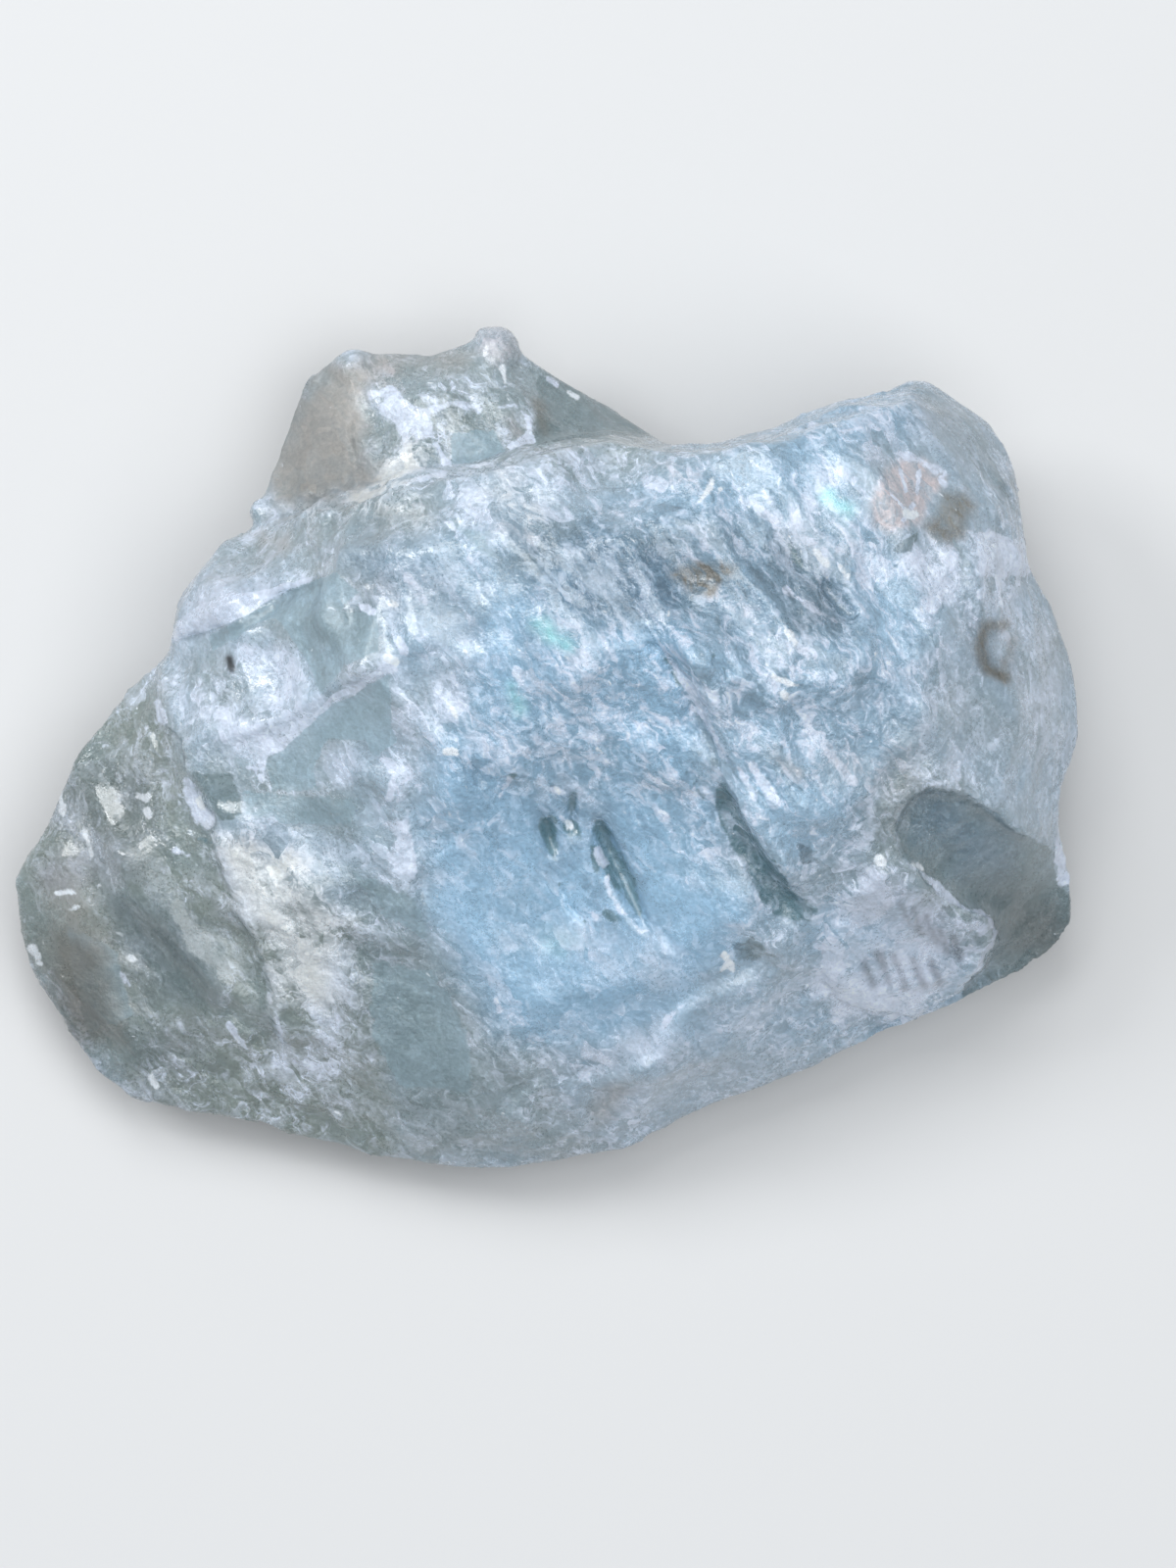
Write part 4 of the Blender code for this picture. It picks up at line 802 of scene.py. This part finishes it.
class Bench:
    """A new material whose nodes are written as Python expressions."""

    def __init__(self, name):
        self.material = bpy.data.materials.new(name)
        self.material.use_nodes = True
        self.tree = self.material.node_tree
        self.surface = self.tree.nodes["Principled BSDF"]

    def feed(self, socket, value):
        if isinstance(value, Value):
            self.tree.links.new(value.socket, socket)
        else:
            socket.default_value = value

    def node(self, kind, settings, inputs, *outputs):
        """One node: its settings are set first, then its inputs are given values or links."""
        made = self.tree.nodes.new(kind)
        for name, setting in settings.items():
            setattr(made, name, setting)
        for name, value in inputs.items():
            self.feed(made.inputs[name], value)
        values = [Value(self, made.outputs[output]) for output in outputs or (0,)]
        return values if len(values) > 1 else values[0]

    def maths(self, operation, first, second):
        return self.node("ShaderNodeMath", {"operation": operation}, {0: first, 1: second})

    def vector(self, operation, first, second):
        return self.node("ShaderNodeVectorMath", {"operation": operation}, {0: first, 1: second})

    def scaled(self, vector, scale):
        return self.node("ShaderNodeVectorMath", {"operation": "SCALE"}, {0: vector, "Scale": scale})

    def dot(self, first, second):
        return self.node("ShaderNodeVectorMath", {"operation": "DOT_PRODUCT"}, {0: first, 1: second}, "Value")

    def clamp(self, value):
        return self.node("ShaderNodeClamp", {}, {"Value": value})

    def rise(self, value, low, high):
        """0 below low, 1 above high, and smooth between them."""
        settings = {"interpolation_type": "SMOOTHSTEP"}
        return self.node("ShaderNodeMapRange", settings, {"Value": value, "From Min": low, "From Max": high})

    def blend(self, share, first, second):
        """From one colour to another."""
        settings = {"data_type": "RGBA", "clamp_factor": True}
        return self.node("ShaderNodeMix", settings, {0: share, 6: first, 7: second}, 2)

    def painted(self, name):
        """A channel painted on the mesh."""
        return self.node("ShaderNodeAttribute", {"attribute_name": name}, {}, "Fac")

    def fog(self, place, size, detail, rough, warp=0.0):
        """Cloudy noise about 0 whose largest lumps have this size."""
        inputs = {"Vector": place, "Scale": 1 / size, "Detail": detail, "Roughness": rough, "Distortion": warp}
        return self.node("ShaderNodeTexNoise", {}, inputs, "Fac") - 0.5

    def cells(self, place, size, *outputs):
        """Cells of about this size: how far each point is from its cell's middle, and the like."""
        return self.node("ShaderNodeTexVoronoi", {}, {"Vector": place, "Scale": 1 / size}, *outputs)


CHIP, FLAKE = 0.75, 0.30  # sizes of the cells that shade the stone, in mm
FLAKE_FLOOR = -0.12  # no flake is shaded darker than this
FRAYED = (0.38, 0.60)  # the painted strengths between which a crisp edge rises


def chip_shades(bench, place, size):
    """Chips of about this size: a shade from -0.5 to 0.5 that falls off across each and breaks at its edge,
    a number from 0 to 1 for each chip, and how far a point is from its chip's middle."""
    reach, lean, middle = bench.cells(place, size, "Distance", "Color", "Position")
    level = bench.vector("SUBTRACT", lean, (0.5, 0.5, 0.5))
    offset = bench.vector("SUBTRACT", bench.scaled(place, 1 / size), bench.scaled(middle, 1 / size))
    chance = bench.node("ShaderNodeSeparateXYZ", {}, {"Vector": lean}, "X")
    return bench.dot(level, offset), chance, reach


def stone_material(finish):
    """Clouded, clear and stained stone with painted light, shade and glints, in millimetres of the lump's own space.
    """
    bench = Bench("beryl finish")
    place = bench.scaled(bench.node("ShaderNodeTexCoord", {}, {}, "Object"), 1 / MILLIMETRE)
    drift = {"Vector": place, "Scale": 0.9, "Detail": 1.0, "Roughness": 0.6}
    drift = bench.node("ShaderNodeTexNoise", {}, drift, "Color")
    bent = bench.vector("ADD", place, bench.scaled(drift, 1.1))
    turn = {"Vector": bent, "Axis": (0.0, 0.0, 1.0), "Angle": -math.radians(SCAR_RUN)}
    along = bench.node("ShaderNodeVectorRotate", {"rotation_type": "AXIS_ANGLE"}, turn)
    drawn_out = bench.vector("MULTIPLY", along, (0.36, 1.0, 1.0))
    fibres = bench.vector("MULTIPLY", along, (0.2, 1.0, 1.0))

    clear, ridge, broken = bench.painted("clear"), bench.painted("ridge"), bench.painted("broken")
    streak, clouds, rim = bench.painted("streak"), bench.painted("clouds"), bench.painted("rim")
    # Painted light and shade: the stone is whiter on sharp ridges and darker in hollows.
    edge = (ridge - 0.5) * broken * 0.5

    mottle = bench.fog(place, 1.3, 4.0, 0.58, warp=0.8)
    strands = bench.fog(fibres, 0.40, 2.0, 0.60)
    grain = bench.fog(place, 0.16, 2.0, 0.7)
    # Painted shade of small facets: each chip and flake is shaded across as if lit from one side, and the shade
    # breaks at its edge.
    chip_shade, chance, _ = chip_shades(bench, drawn_out, CHIP)
    flake_shade, luck, near = chip_shades(bench, drawn_out, FLAKE)
    flake_shade = bench.maths("MAXIMUM", flake_shade, FLAKE_FLOOR)
    frizz = bench.fog(place, 0.45, 3.0, 0.65) * 0.7

    def crisp(name):
        """A painted channel with its soft edge sharpened and frayed."""
        return bench.rise(bench.painted(name) + frizz, *FRAYED)

    thread = bench.maths("ABSOLUTE", bench.fog(bent, 1.5, 3.0, 0.60, warp=0.6), 0.0)
    thread = (1 - bench.rise(thread, 0.0, 0.035)) * bench.rise(bench.fog(place, 1.9, 1.0, 0.5), -0.05, 0.12)
    shreds = bench.maths("ABSOLUTE", bench.fog(drawn_out, 0.7, 2.0, 0.65, warp=1.0), 0.0)
    shreds = (1 - bench.rise(shreds, 0.0, 0.05)) * bench.rise(bench.fog(place, 1.2, 1.0, 0.5), 0.0, 0.14)
    facet, pane, crack_shade = crisp("facet"), crisp("pane"), crisp("crack_shade")

    # The texture: cloudy veils, fibres and grain of the stone, with the painted shade of the chips and flakes.
    texture = mottle * 1.1 + chip_shade * 1.1 + flake_shade * 1.0 + strands * (streak * 2.8 + 0.7)
    green = bench.clamp(bench.painted("green") + clouds * 0.15)
    texture = texture * (broken * 0.62 + 0.42) * (1 - facet * 0.25) * (1 - green * 0.40) + grain * 0.40
    veil = bench.painted("milk") * 0.80 + texture + clouds * 0.22 + edge * 0.20 + thread * (broken * 0.35 + 0.05)
    veil = veil + shreds * (broken * 0.40 + 0.10) + green * 0.06
    face = bench.maths("MAXIMUM", facet, pane)
    white = bench.rise(veil, -0.20, 1.10) * (1 - clear * 0.7) * (1 - face * 0.80) * (1 - crack_shade * 0.6)
    stain, tan = bench.painted("stain"), bench.painted("tan")
    white = bench.maths("MAXIMUM", white * (1 - stain * 0.7), crisp("crust") * (0.86 + texture * 0.6))
    # Painted highlights: near-white glints on a few flakes, and the painted glint strokes.
    lucky = bench.rise(luck + veil * 0.10 + broken * 0.02, 0.93, 0.98)
    painted_glints = lucky * (1 - bench.rise(near, 0.06, 0.22)) * (broken * 0.8 + 0.2)
    painted_glints = bench.maths("MAXIMUM", painted_glints, crisp("glint"))

    def colour(name):
        return (*getattr(finish, name), 1.0)

    blue = bench.clamp(bench.painted("blue"))
    body = bench.blend(blue, colour("grey"), colour("blue"))
    body = bench.blend(green, body, colour("green"))
    body = bench.blend(facet * 0.75, body, colour("facet"))
    dark = bench.maths("MAXIMUM", clear * 0.85, pane * 0.85) - edge * 0.4 - texture * 0.45
    body = bench.blend(bench.clamp(dark), body, bench.blend(blue, colour("clear"), colour("ink")))
    body = bench.blend(stain * (texture * 1.4 + 0.78), body, colour("stain"))
    # Painted shade in the bottom of cracks and notches, in the deep colour.
    body = bench.blend(crack_shade * (0.86 - texture * 0.40), body, colour("deep"))
    body = bench.blend(white, body, colour("milk"))
    body = bench.blend(bench.painted("cream") * white, body, colour("cream"))
    body = bench.blend(tan * (texture * 0.5 + 0.92), body, colour("tan"))
    # Painted rim light along the thin foot and the steep sides.
    body = bench.blend(rim * (mottle + 0.4), body, colour("rim"))
    body = bench.blend(bench.painted("brown") * (texture * 0.8 + 0.95), body, colour("brown"))
    # Painted sheen of the thin cracks.
    body = bench.blend(bench.painted("flash") * (mottle * 2.0 + 0.85), body, colour("flash"))
    body = bench.blend(painted_glints, body, colour("glint"))
    body = bench.blend(bench.painted("speck"), body, colour("speck"))
    # The shade: the fine tone of the grain and the mottle, with the painted shade of the flakes and the painted shade
    # patches.
    shade = (grain * 0.6 + flake_shade * 0.35 + mottle * 0.25 + 1) * (1 - bench.painted("painted_shade"))
    bench.feed(bench.surface.inputs["Base Color"], bench.scaled(body, shade))

    rough = 0.16 + chance * 0.20 + white * 0.12 + grain * 0.25 + tan * 0.25 + facet * 0.20
    bench.feed(bench.surface.inputs["Roughness"], bench.clamp(rough))

    height = frizz * 0.22 * (broken * 0.75 + 0.25)
    bump = {"Strength": 1.0, "Distance": MILLIMETRE, "Height": height}
    bench.feed(bench.surface.inputs["Normal"], bench.node("ShaderNodeBump", {}, bump))

    fixed = {
        "IOR": finish.ior,
        "Transmission Weight": finish.clarity,
        "Subsurface Weight": finish.haze,
        "Subsurface Radius": (0.8, 1.0, 1.1),
        "Subsurface Scale": finish.haze_depth,
        "Coat Weight": finish.gloss * (1 - tan * 0.8) * (1 - facet * 0.7),
        "Coat Roughness": 0.06,
    }
    for name, value in fixed.items():
        bench.feed(bench.surface.inputs[name], value)
    bench.surface.subsurface_method = "BURLEY"
    depth = {"Color": colour("depth"), "Density": finish.depth_density}
    depth = bench.node("ShaderNodeVolumeAbsorption", {}, depth, "Volume")
    bench.feed(bench.tree.nodes["Material Output"].inputs["Volume"], depth)
    return bench.material


def floor_material(colour):
    bench = Bench("floor")
    bench.feed(bench.surface.inputs["Base Color"], (*colour, 1.0))
    bench.feed(bench.surface.inputs["Roughness"], 0.9)
    return bench.material


def relief_heights(places, normals, upper):
    """How far each place of the plain skin is raised along its normal, in mm."""
    points = places[:, :2]
    ragged = wander(places, "lips") * LIP_RAGGED
    streak = streakiness(points)
    scars = scar_heights(places, EVEN_STRETCH) * (1 - streak) + scar_heights(places, STREAK_STRETCH) * streak
    raised = scars * brokenness(points, normals)
    raised += (lip_heights(points, ragged) - groove_depths(points)) * upper
    return np.where(places[:, 2] < REST_SKIN, 0.0, raised)


def broken_mesh(source, shape):
    """The plain solid's skin rebuilt as a fine mesh with scars, lips and grooves."""
    fine = modified_mesh(
        source,
        ("REMESH", {"mode": "VOXEL", "voxel_size": shape.mesh_grain}),
        ("SMOOTH", {"factor": 0.5, "iterations": 2}),
    )
    places, normals = mesh_places(fine)
    low, high = UPPER_TILT
    upper = smooth_step((normals[:, 2] - low) / (high - low))
    places += normals * relief_heights(places, normals, upper)[:, None] * shape.relief
    lowest, highest = (np.array(corner) / MILLIMETRE for corner in CAD_BOX)
    fine.vertices.foreach_set("co", (np.clip(places, lowest, highest) * MILLIMETRE).ravel())
    fine.update()
    whole = modified_mesh(fine, ("TRIANGULATE", {}))
    _, normals = mesh_places(whole)
    under = np.flatnonzero(normals[:, 2] < UNDERSIDE_TILT).tolist()
    settings = {"ratio": shape.triangles / len(whole.polygons), "vertex_group": THINNED}
    return modified_mesh(whole, ("DECIMATE", settings), thinned=under)


def neighbour_mean(values, edges):
    """The mean of the values at each vertex's neighbours."""
    total, count = np.zeros_like(values), np.zeros(len(values))
    for a, b in ((0, 1), (1, 0)):
        np.add.at(total, edges[:, a], values[edges[:, b]])
        np.add.at(count, edges[:, a], 1)
    return (total.T / count).T


def ridge_shares(mesh, places, normals):
    """From 0 in a sharp hollow to 1 on a sharp ridge, 0.5 on level ground."""
    edges = np.zeros(len(mesh.edges) * 2, int)
    mesh.edges.foreach_get("vertices", edges)
    edges = edges.reshape(-1, 2)
    hollow = ((neighbour_mean(places, edges) - places) * normals).sum(axis=1)
    for _ in range(2):
        hollow = 0.5 * hollow + 0.5 * neighbour_mean(hollow, edges)
    return np.clip(0.5 - hollow / RIDGE_BEND, 0, 1)


def paint(mesh):
    """Puts what the stone's finish needs on the mesh, one number a vertex for each channel."""
    places, normals = mesh_places(mesh)
    points = places[:, :2]
    ragged = wander(places, "patches") * PATCH_WANDER
    channels = {name: patch_strength(points, ragged, shapes) for name, shapes in PATCHES.items()}
    channels["clouds"] = wander(places, "clouds")
    channels["broken"] = brokenness(points, normals)
    channels["streak"] = streakiness(points)
    channels["ridge"] = ridge_shares(mesh, places, normals)
    # Painted rim light: on low or steep skin.
    steep = smooth_step(2 * (RIM_SLOPE - normals[:, 2])) * smooth_step(RIM_TOP - places[:, 2])
    channels["rim"] = np.maximum(smooth_step(1 - places[:, 2] / RIM_HEIGHT), steep)
    for name, strength in channels.items():
        layer = mesh.attributes.new(name, "FLOAT", "POINT")
        layer.data.foreach_set("value", strength.astype(np.float32))


def length_property(name, description, default):
    return bpy.props.FloatProperty(
        name=name, description=description, default=default, min=0.0, precision=5, unit="LENGTH", subtype="DISTANCE"
    )


def share_property(name, description, default, highest=1.0):
    return bpy.props.FloatProperty(
        name=name, description=description, default=default, min=0.0, max=highest, subtype="FACTOR"
    )


def colour_property(name, description, default):
    return bpy.props.FloatVectorProperty(
        name=name, description=description, default=default, min=0.0, max=1.0, size=3, subtype="COLOR"
    )


class BerylShape(bpy.types.PropertyGroup):
    """How the lump's skin is rebuilt."""

    mesh_grain: length_property("Mesh Grain", "Size of the squares of the rebuilt skin", 0.18 * MILLIMETRE)
    relief: share_property("Relief", "How deep the scars, lips and grooves are", 1.0, 2.0)
    triangles: bpy.props.IntProperty(
        name="Triangles", description="How many triangles the skin is thinned to, on its underside",
        default=198000, min=1000,
    )


class BerylFinish(bpy.types.PropertyGroup):
    """The colours and the clarity of the stone."""

    grey: colour_property("Grey Body", "Plain stone between the other two bodies", (0.400, 0.508, 0.605))
    green: colour_property("Green Body", "Plain stone of the west and south", (0.240, 0.285, 0.264))
    blue: colour_property("Blue Body", "Plain stone of the hollow and the crown", (0.345, 0.550, 0.735))
    facet: colour_property("Facet", "Smooth grey-green faces between the white sheets", (0.322, 0.452, 0.525))
    clear: colour_property("Clear", "Stone that is dark because light passes into it", (0.180, 0.245, 0.262))
    # Ink: clear stone of the hollow and the crown, and the colour of the painted shade over the crown.
    ink: colour_property("Ink", "Clear stone of the hollow and the crown", (0.160, 0.252, 0.345))
    # Deep: the colour of the painted shade in the bottom of cracks and notches.
    deep: colour_property("Deep", "Stone in the bottom of cracks and notches", (0.135, 0.240, 0.285))
    milk: colour_property("Milk", "White clouds and crusts", (0.765, 0.842, 0.995))
    cream: colour_property("Cream", "Yellowish white crust", (0.760, 0.780, 0.755))
    tan: colour_property("Tan", "Brownish clear stone of the lobe", (0.400, 0.385, 0.362))
    # Rim: the colour of the painted rim light along the thin foot and the steep sides.
    rim: colour_property("Rim", "Pale thin stone along the foot", (0.420, 0.465, 0.470))
    stain: colour_property("Stain", "Pinkish patch", (0.630, 0.555, 0.560))
    brown: colour_property("Brown", "Brown spots", (0.205, 0.200, 0.175))
    # Glint: the colour of the painted highlights.
    glint: colour_property("Glint", "Bright flecks", (0.880, 0.940, 1.000))
    speck: colour_property("Speck", "One dark grain", (0.030, 0.035, 0.040))
    # Flash: the colour of the painted sheen off thin cracks.
    flash: colour_property("Flash", "Blue-green flash of a thin crack", (0.430, 0.880, 0.930))
    depth: colour_property("Depth", "Colour that light takes on deep inside", (0.750, 0.900, 0.940))
    depth_density: bpy.props.FloatProperty(
        name="Depth Density", description="How fast light takes on that colour, per metre", default=60.0, min=0.0
    )
    clarity: share_property("Clarity", "Share of the light that passes through", 0.30)
    haze: share_property("Haze", "Share of the rest that spreads under the surface", 0.50)
    haze_depth: length_property("Haze Depth", "How far light spreads under the surface", 0.8 * MILLIMETRE)
    gloss: share_property("Gloss", "Strength of the glassy coat", 0.45)
    ior: bpy.props.FloatProperty(name="Refraction", description="Index of refraction", default=1.58, min=1.0)


class BerylStudio(bpy.types.PropertyGroup):
    """The floor, lights and camera round the stone."""

    floor_side: length_property("Floor Side", "Side of the square floor", 1.2)
    floor_colour: colour_property("Floor", "Colour of the floor", (0.58, 0.58, 0.58))
    light_colour: colour_property("Light", "Colour of the lamps", (0.97, 0.985, 1.0))
    sky_colour: colour_property("Sky", "Colour of the light from all round", (0.88, 0.94, 1.0))
    sky_strength: share_property("Sky Strength", "Strength of the light from all round", 0.34)
    camera_height: length_property("Camera Height", "Height of the camera over the floor", 0.505)


class BERYL_OT_stone(bpy.types.Operator):
    """Rebuild the lump's skin as fine broken stone and finish it"""

    bl_idname = "beryl.stone"
    bl_label = "Build Stone"

    def execute(self, context):
        scene = context.scene
        mesh = broken_mesh(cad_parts[NODE].data, scene.beryl_shape)
        paint(mesh)
        mesh.polygons.foreach_set("use_smooth", np.ones(len(mesh.polygons), bool))
        mesh.materials.clear()
        mesh.materials.append(stone_material(scene.beryl_finish))
        stone = bpy.data.objects.new("beryl_stone", mesh)
        scene.collection.objects.link(stone)
        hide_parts(NODE)
        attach(stone, "root")
        return {"FINISHED"}


class BERYL_OT_studio(bpy.types.Operator):
    """Build a pale floor, soft lights and a camera straight above the stone"""

    bl_idname = "beryl.studio"
    bl_label = "Build Studio"

    def execute(self, context):
        studio = context.scene.beryl_studio
        add_floor(context.scene, studio)
        add_lights(context.scene, studio)
        add_camera(context.scene, studio)
        context.scene.view_settings.view_transform = "Standard"
        return {"FINISHED"}


# Soft lamps: where each stands, its side in metres and its power in watts.
LAMPS = {
    "window": ((-0.08, 0.26, 0.40), 0.26, 1.1),
    "overhead": ((0.15, -0.04, 0.55), 0.5, 2.2),
    "glint": ((-0.25, 0.15, 0.25), 0.12, 0.56),
}
LIT_HEIGHT = 0.008  # the height of the point that the lamps face

VIEW_WIDTH = 1200 / 23.65 * MILLIMETRE  # the width of floor that the camera sees
VIEW_MIDDLE = (1.86 * MILLIMETRE, -1.52 * MILLIMETRE)
SENSOR = 36.0
FOCUS_HEIGHT = 0.005


def add_floor(scene, studio):
    half = studio.floor_side / 2
    corners = ((-half, -half, 0), (half, -half, 0), (half, half, 0), (-half, half, 0))
    mesh = bpy.data.meshes.new("floor")
    mesh.from_pydata(corners, [], [(0, 1, 2, 3)])
    mesh.materials.append(floor_material(studio.floor_colour))
    floor = bpy.data.objects.new("floor", mesh)
    scene.collection.objects.link(floor)


def add_lights(scene, studio):
    scene.world = bpy.data.worlds.new("studio")
    scene.world.use_nodes = True
    sky = scene.world.node_tree.nodes["Background"]
    sky.inputs["Color"].default_value = (*studio.sky_colour, 1.0)
    sky.inputs["Strength"].default_value = studio.sky_strength
    for name, (spot, side, power) in LAMPS.items():
        lamp = bpy.data.lights.new(name, "AREA")
        lamp.size, lamp.energy, lamp.color = side, power, studio.light_colour
        holder = bpy.data.objects.new(name, lamp)
        holder.location = spot
        aim = Vector((0, 0, LIT_HEIGHT)) - holder.location
        holder.rotation_euler = aim.to_track_quat("-Z", "Y").to_euler()
        scene.collection.objects.link(holder)


def add_camera(scene, studio):
    camera = bpy.data.cameras.new("camera")
    camera.sensor_fit = "HORIZONTAL"
    camera.sensor_width = SENSOR
    camera.lens = SENSOR * (studio.camera_height - FOCUS_HEIGHT) / VIEW_WIDTH
    camera.clip_start = 0.01
    holder = bpy.data.objects.new("camera", camera)
    holder.location = (*VIEW_MIDDLE, studio.camera_height)
    scene.collection.objects.link(holder)
    scene.camera = holder


# The steps that the panel lists: the button's operator, if it has one, and the settings under it.
STEPS = ((BERYL_OT_stone, "beryl_shape"), (None, "beryl_finish"), (BERYL_OT_studio, "beryl_studio"))


class BERYL_PT_sidebar(bpy.types.Panel):
    """Lists the steps and the settings of the stone and its studio"""

    bl_idname = "BERYL_PT_sidebar"
    bl_label = "Raw Beryl"
    bl_space_type = "VIEW_3D"
    bl_region_type = "UI"
    bl_category = "Beryl"

    def draw(self, context):
        for operator, group in STEPS:
            box = self.layout.box()
            if operator:
                box.operator(operator.bl_idname)
            settings = getattr(context.scene, group)
            for name in type(settings).__annotations__:
                box.prop(settings, name)


CLASSES = (BerylShape, BerylFinish, BerylStudio, BERYL_OT_stone, BERYL_OT_studio, BERYL_PT_sidebar)
GROUPS = {"beryl_shape": BerylShape, "beryl_finish": BerylFinish, "beryl_studio": BerylStudio}


def register():
    for kind in CLASSES:
        bpy.utils.register_class(kind)
    for name, group in GROUPS.items():
        setattr(bpy.types.Scene, name, bpy.props.PointerProperty(type=group))


def unregister():
    for name in GROUPS:
        delattr(bpy.types.Scene, name)
    for kind in reversed(CLASSES):
        bpy.utils.unregister_class(kind)


def main():
    register()
    bpy.ops.beryl.stone()
    bpy.ops.beryl.studio()


if __name__ == "__main__":
    main()
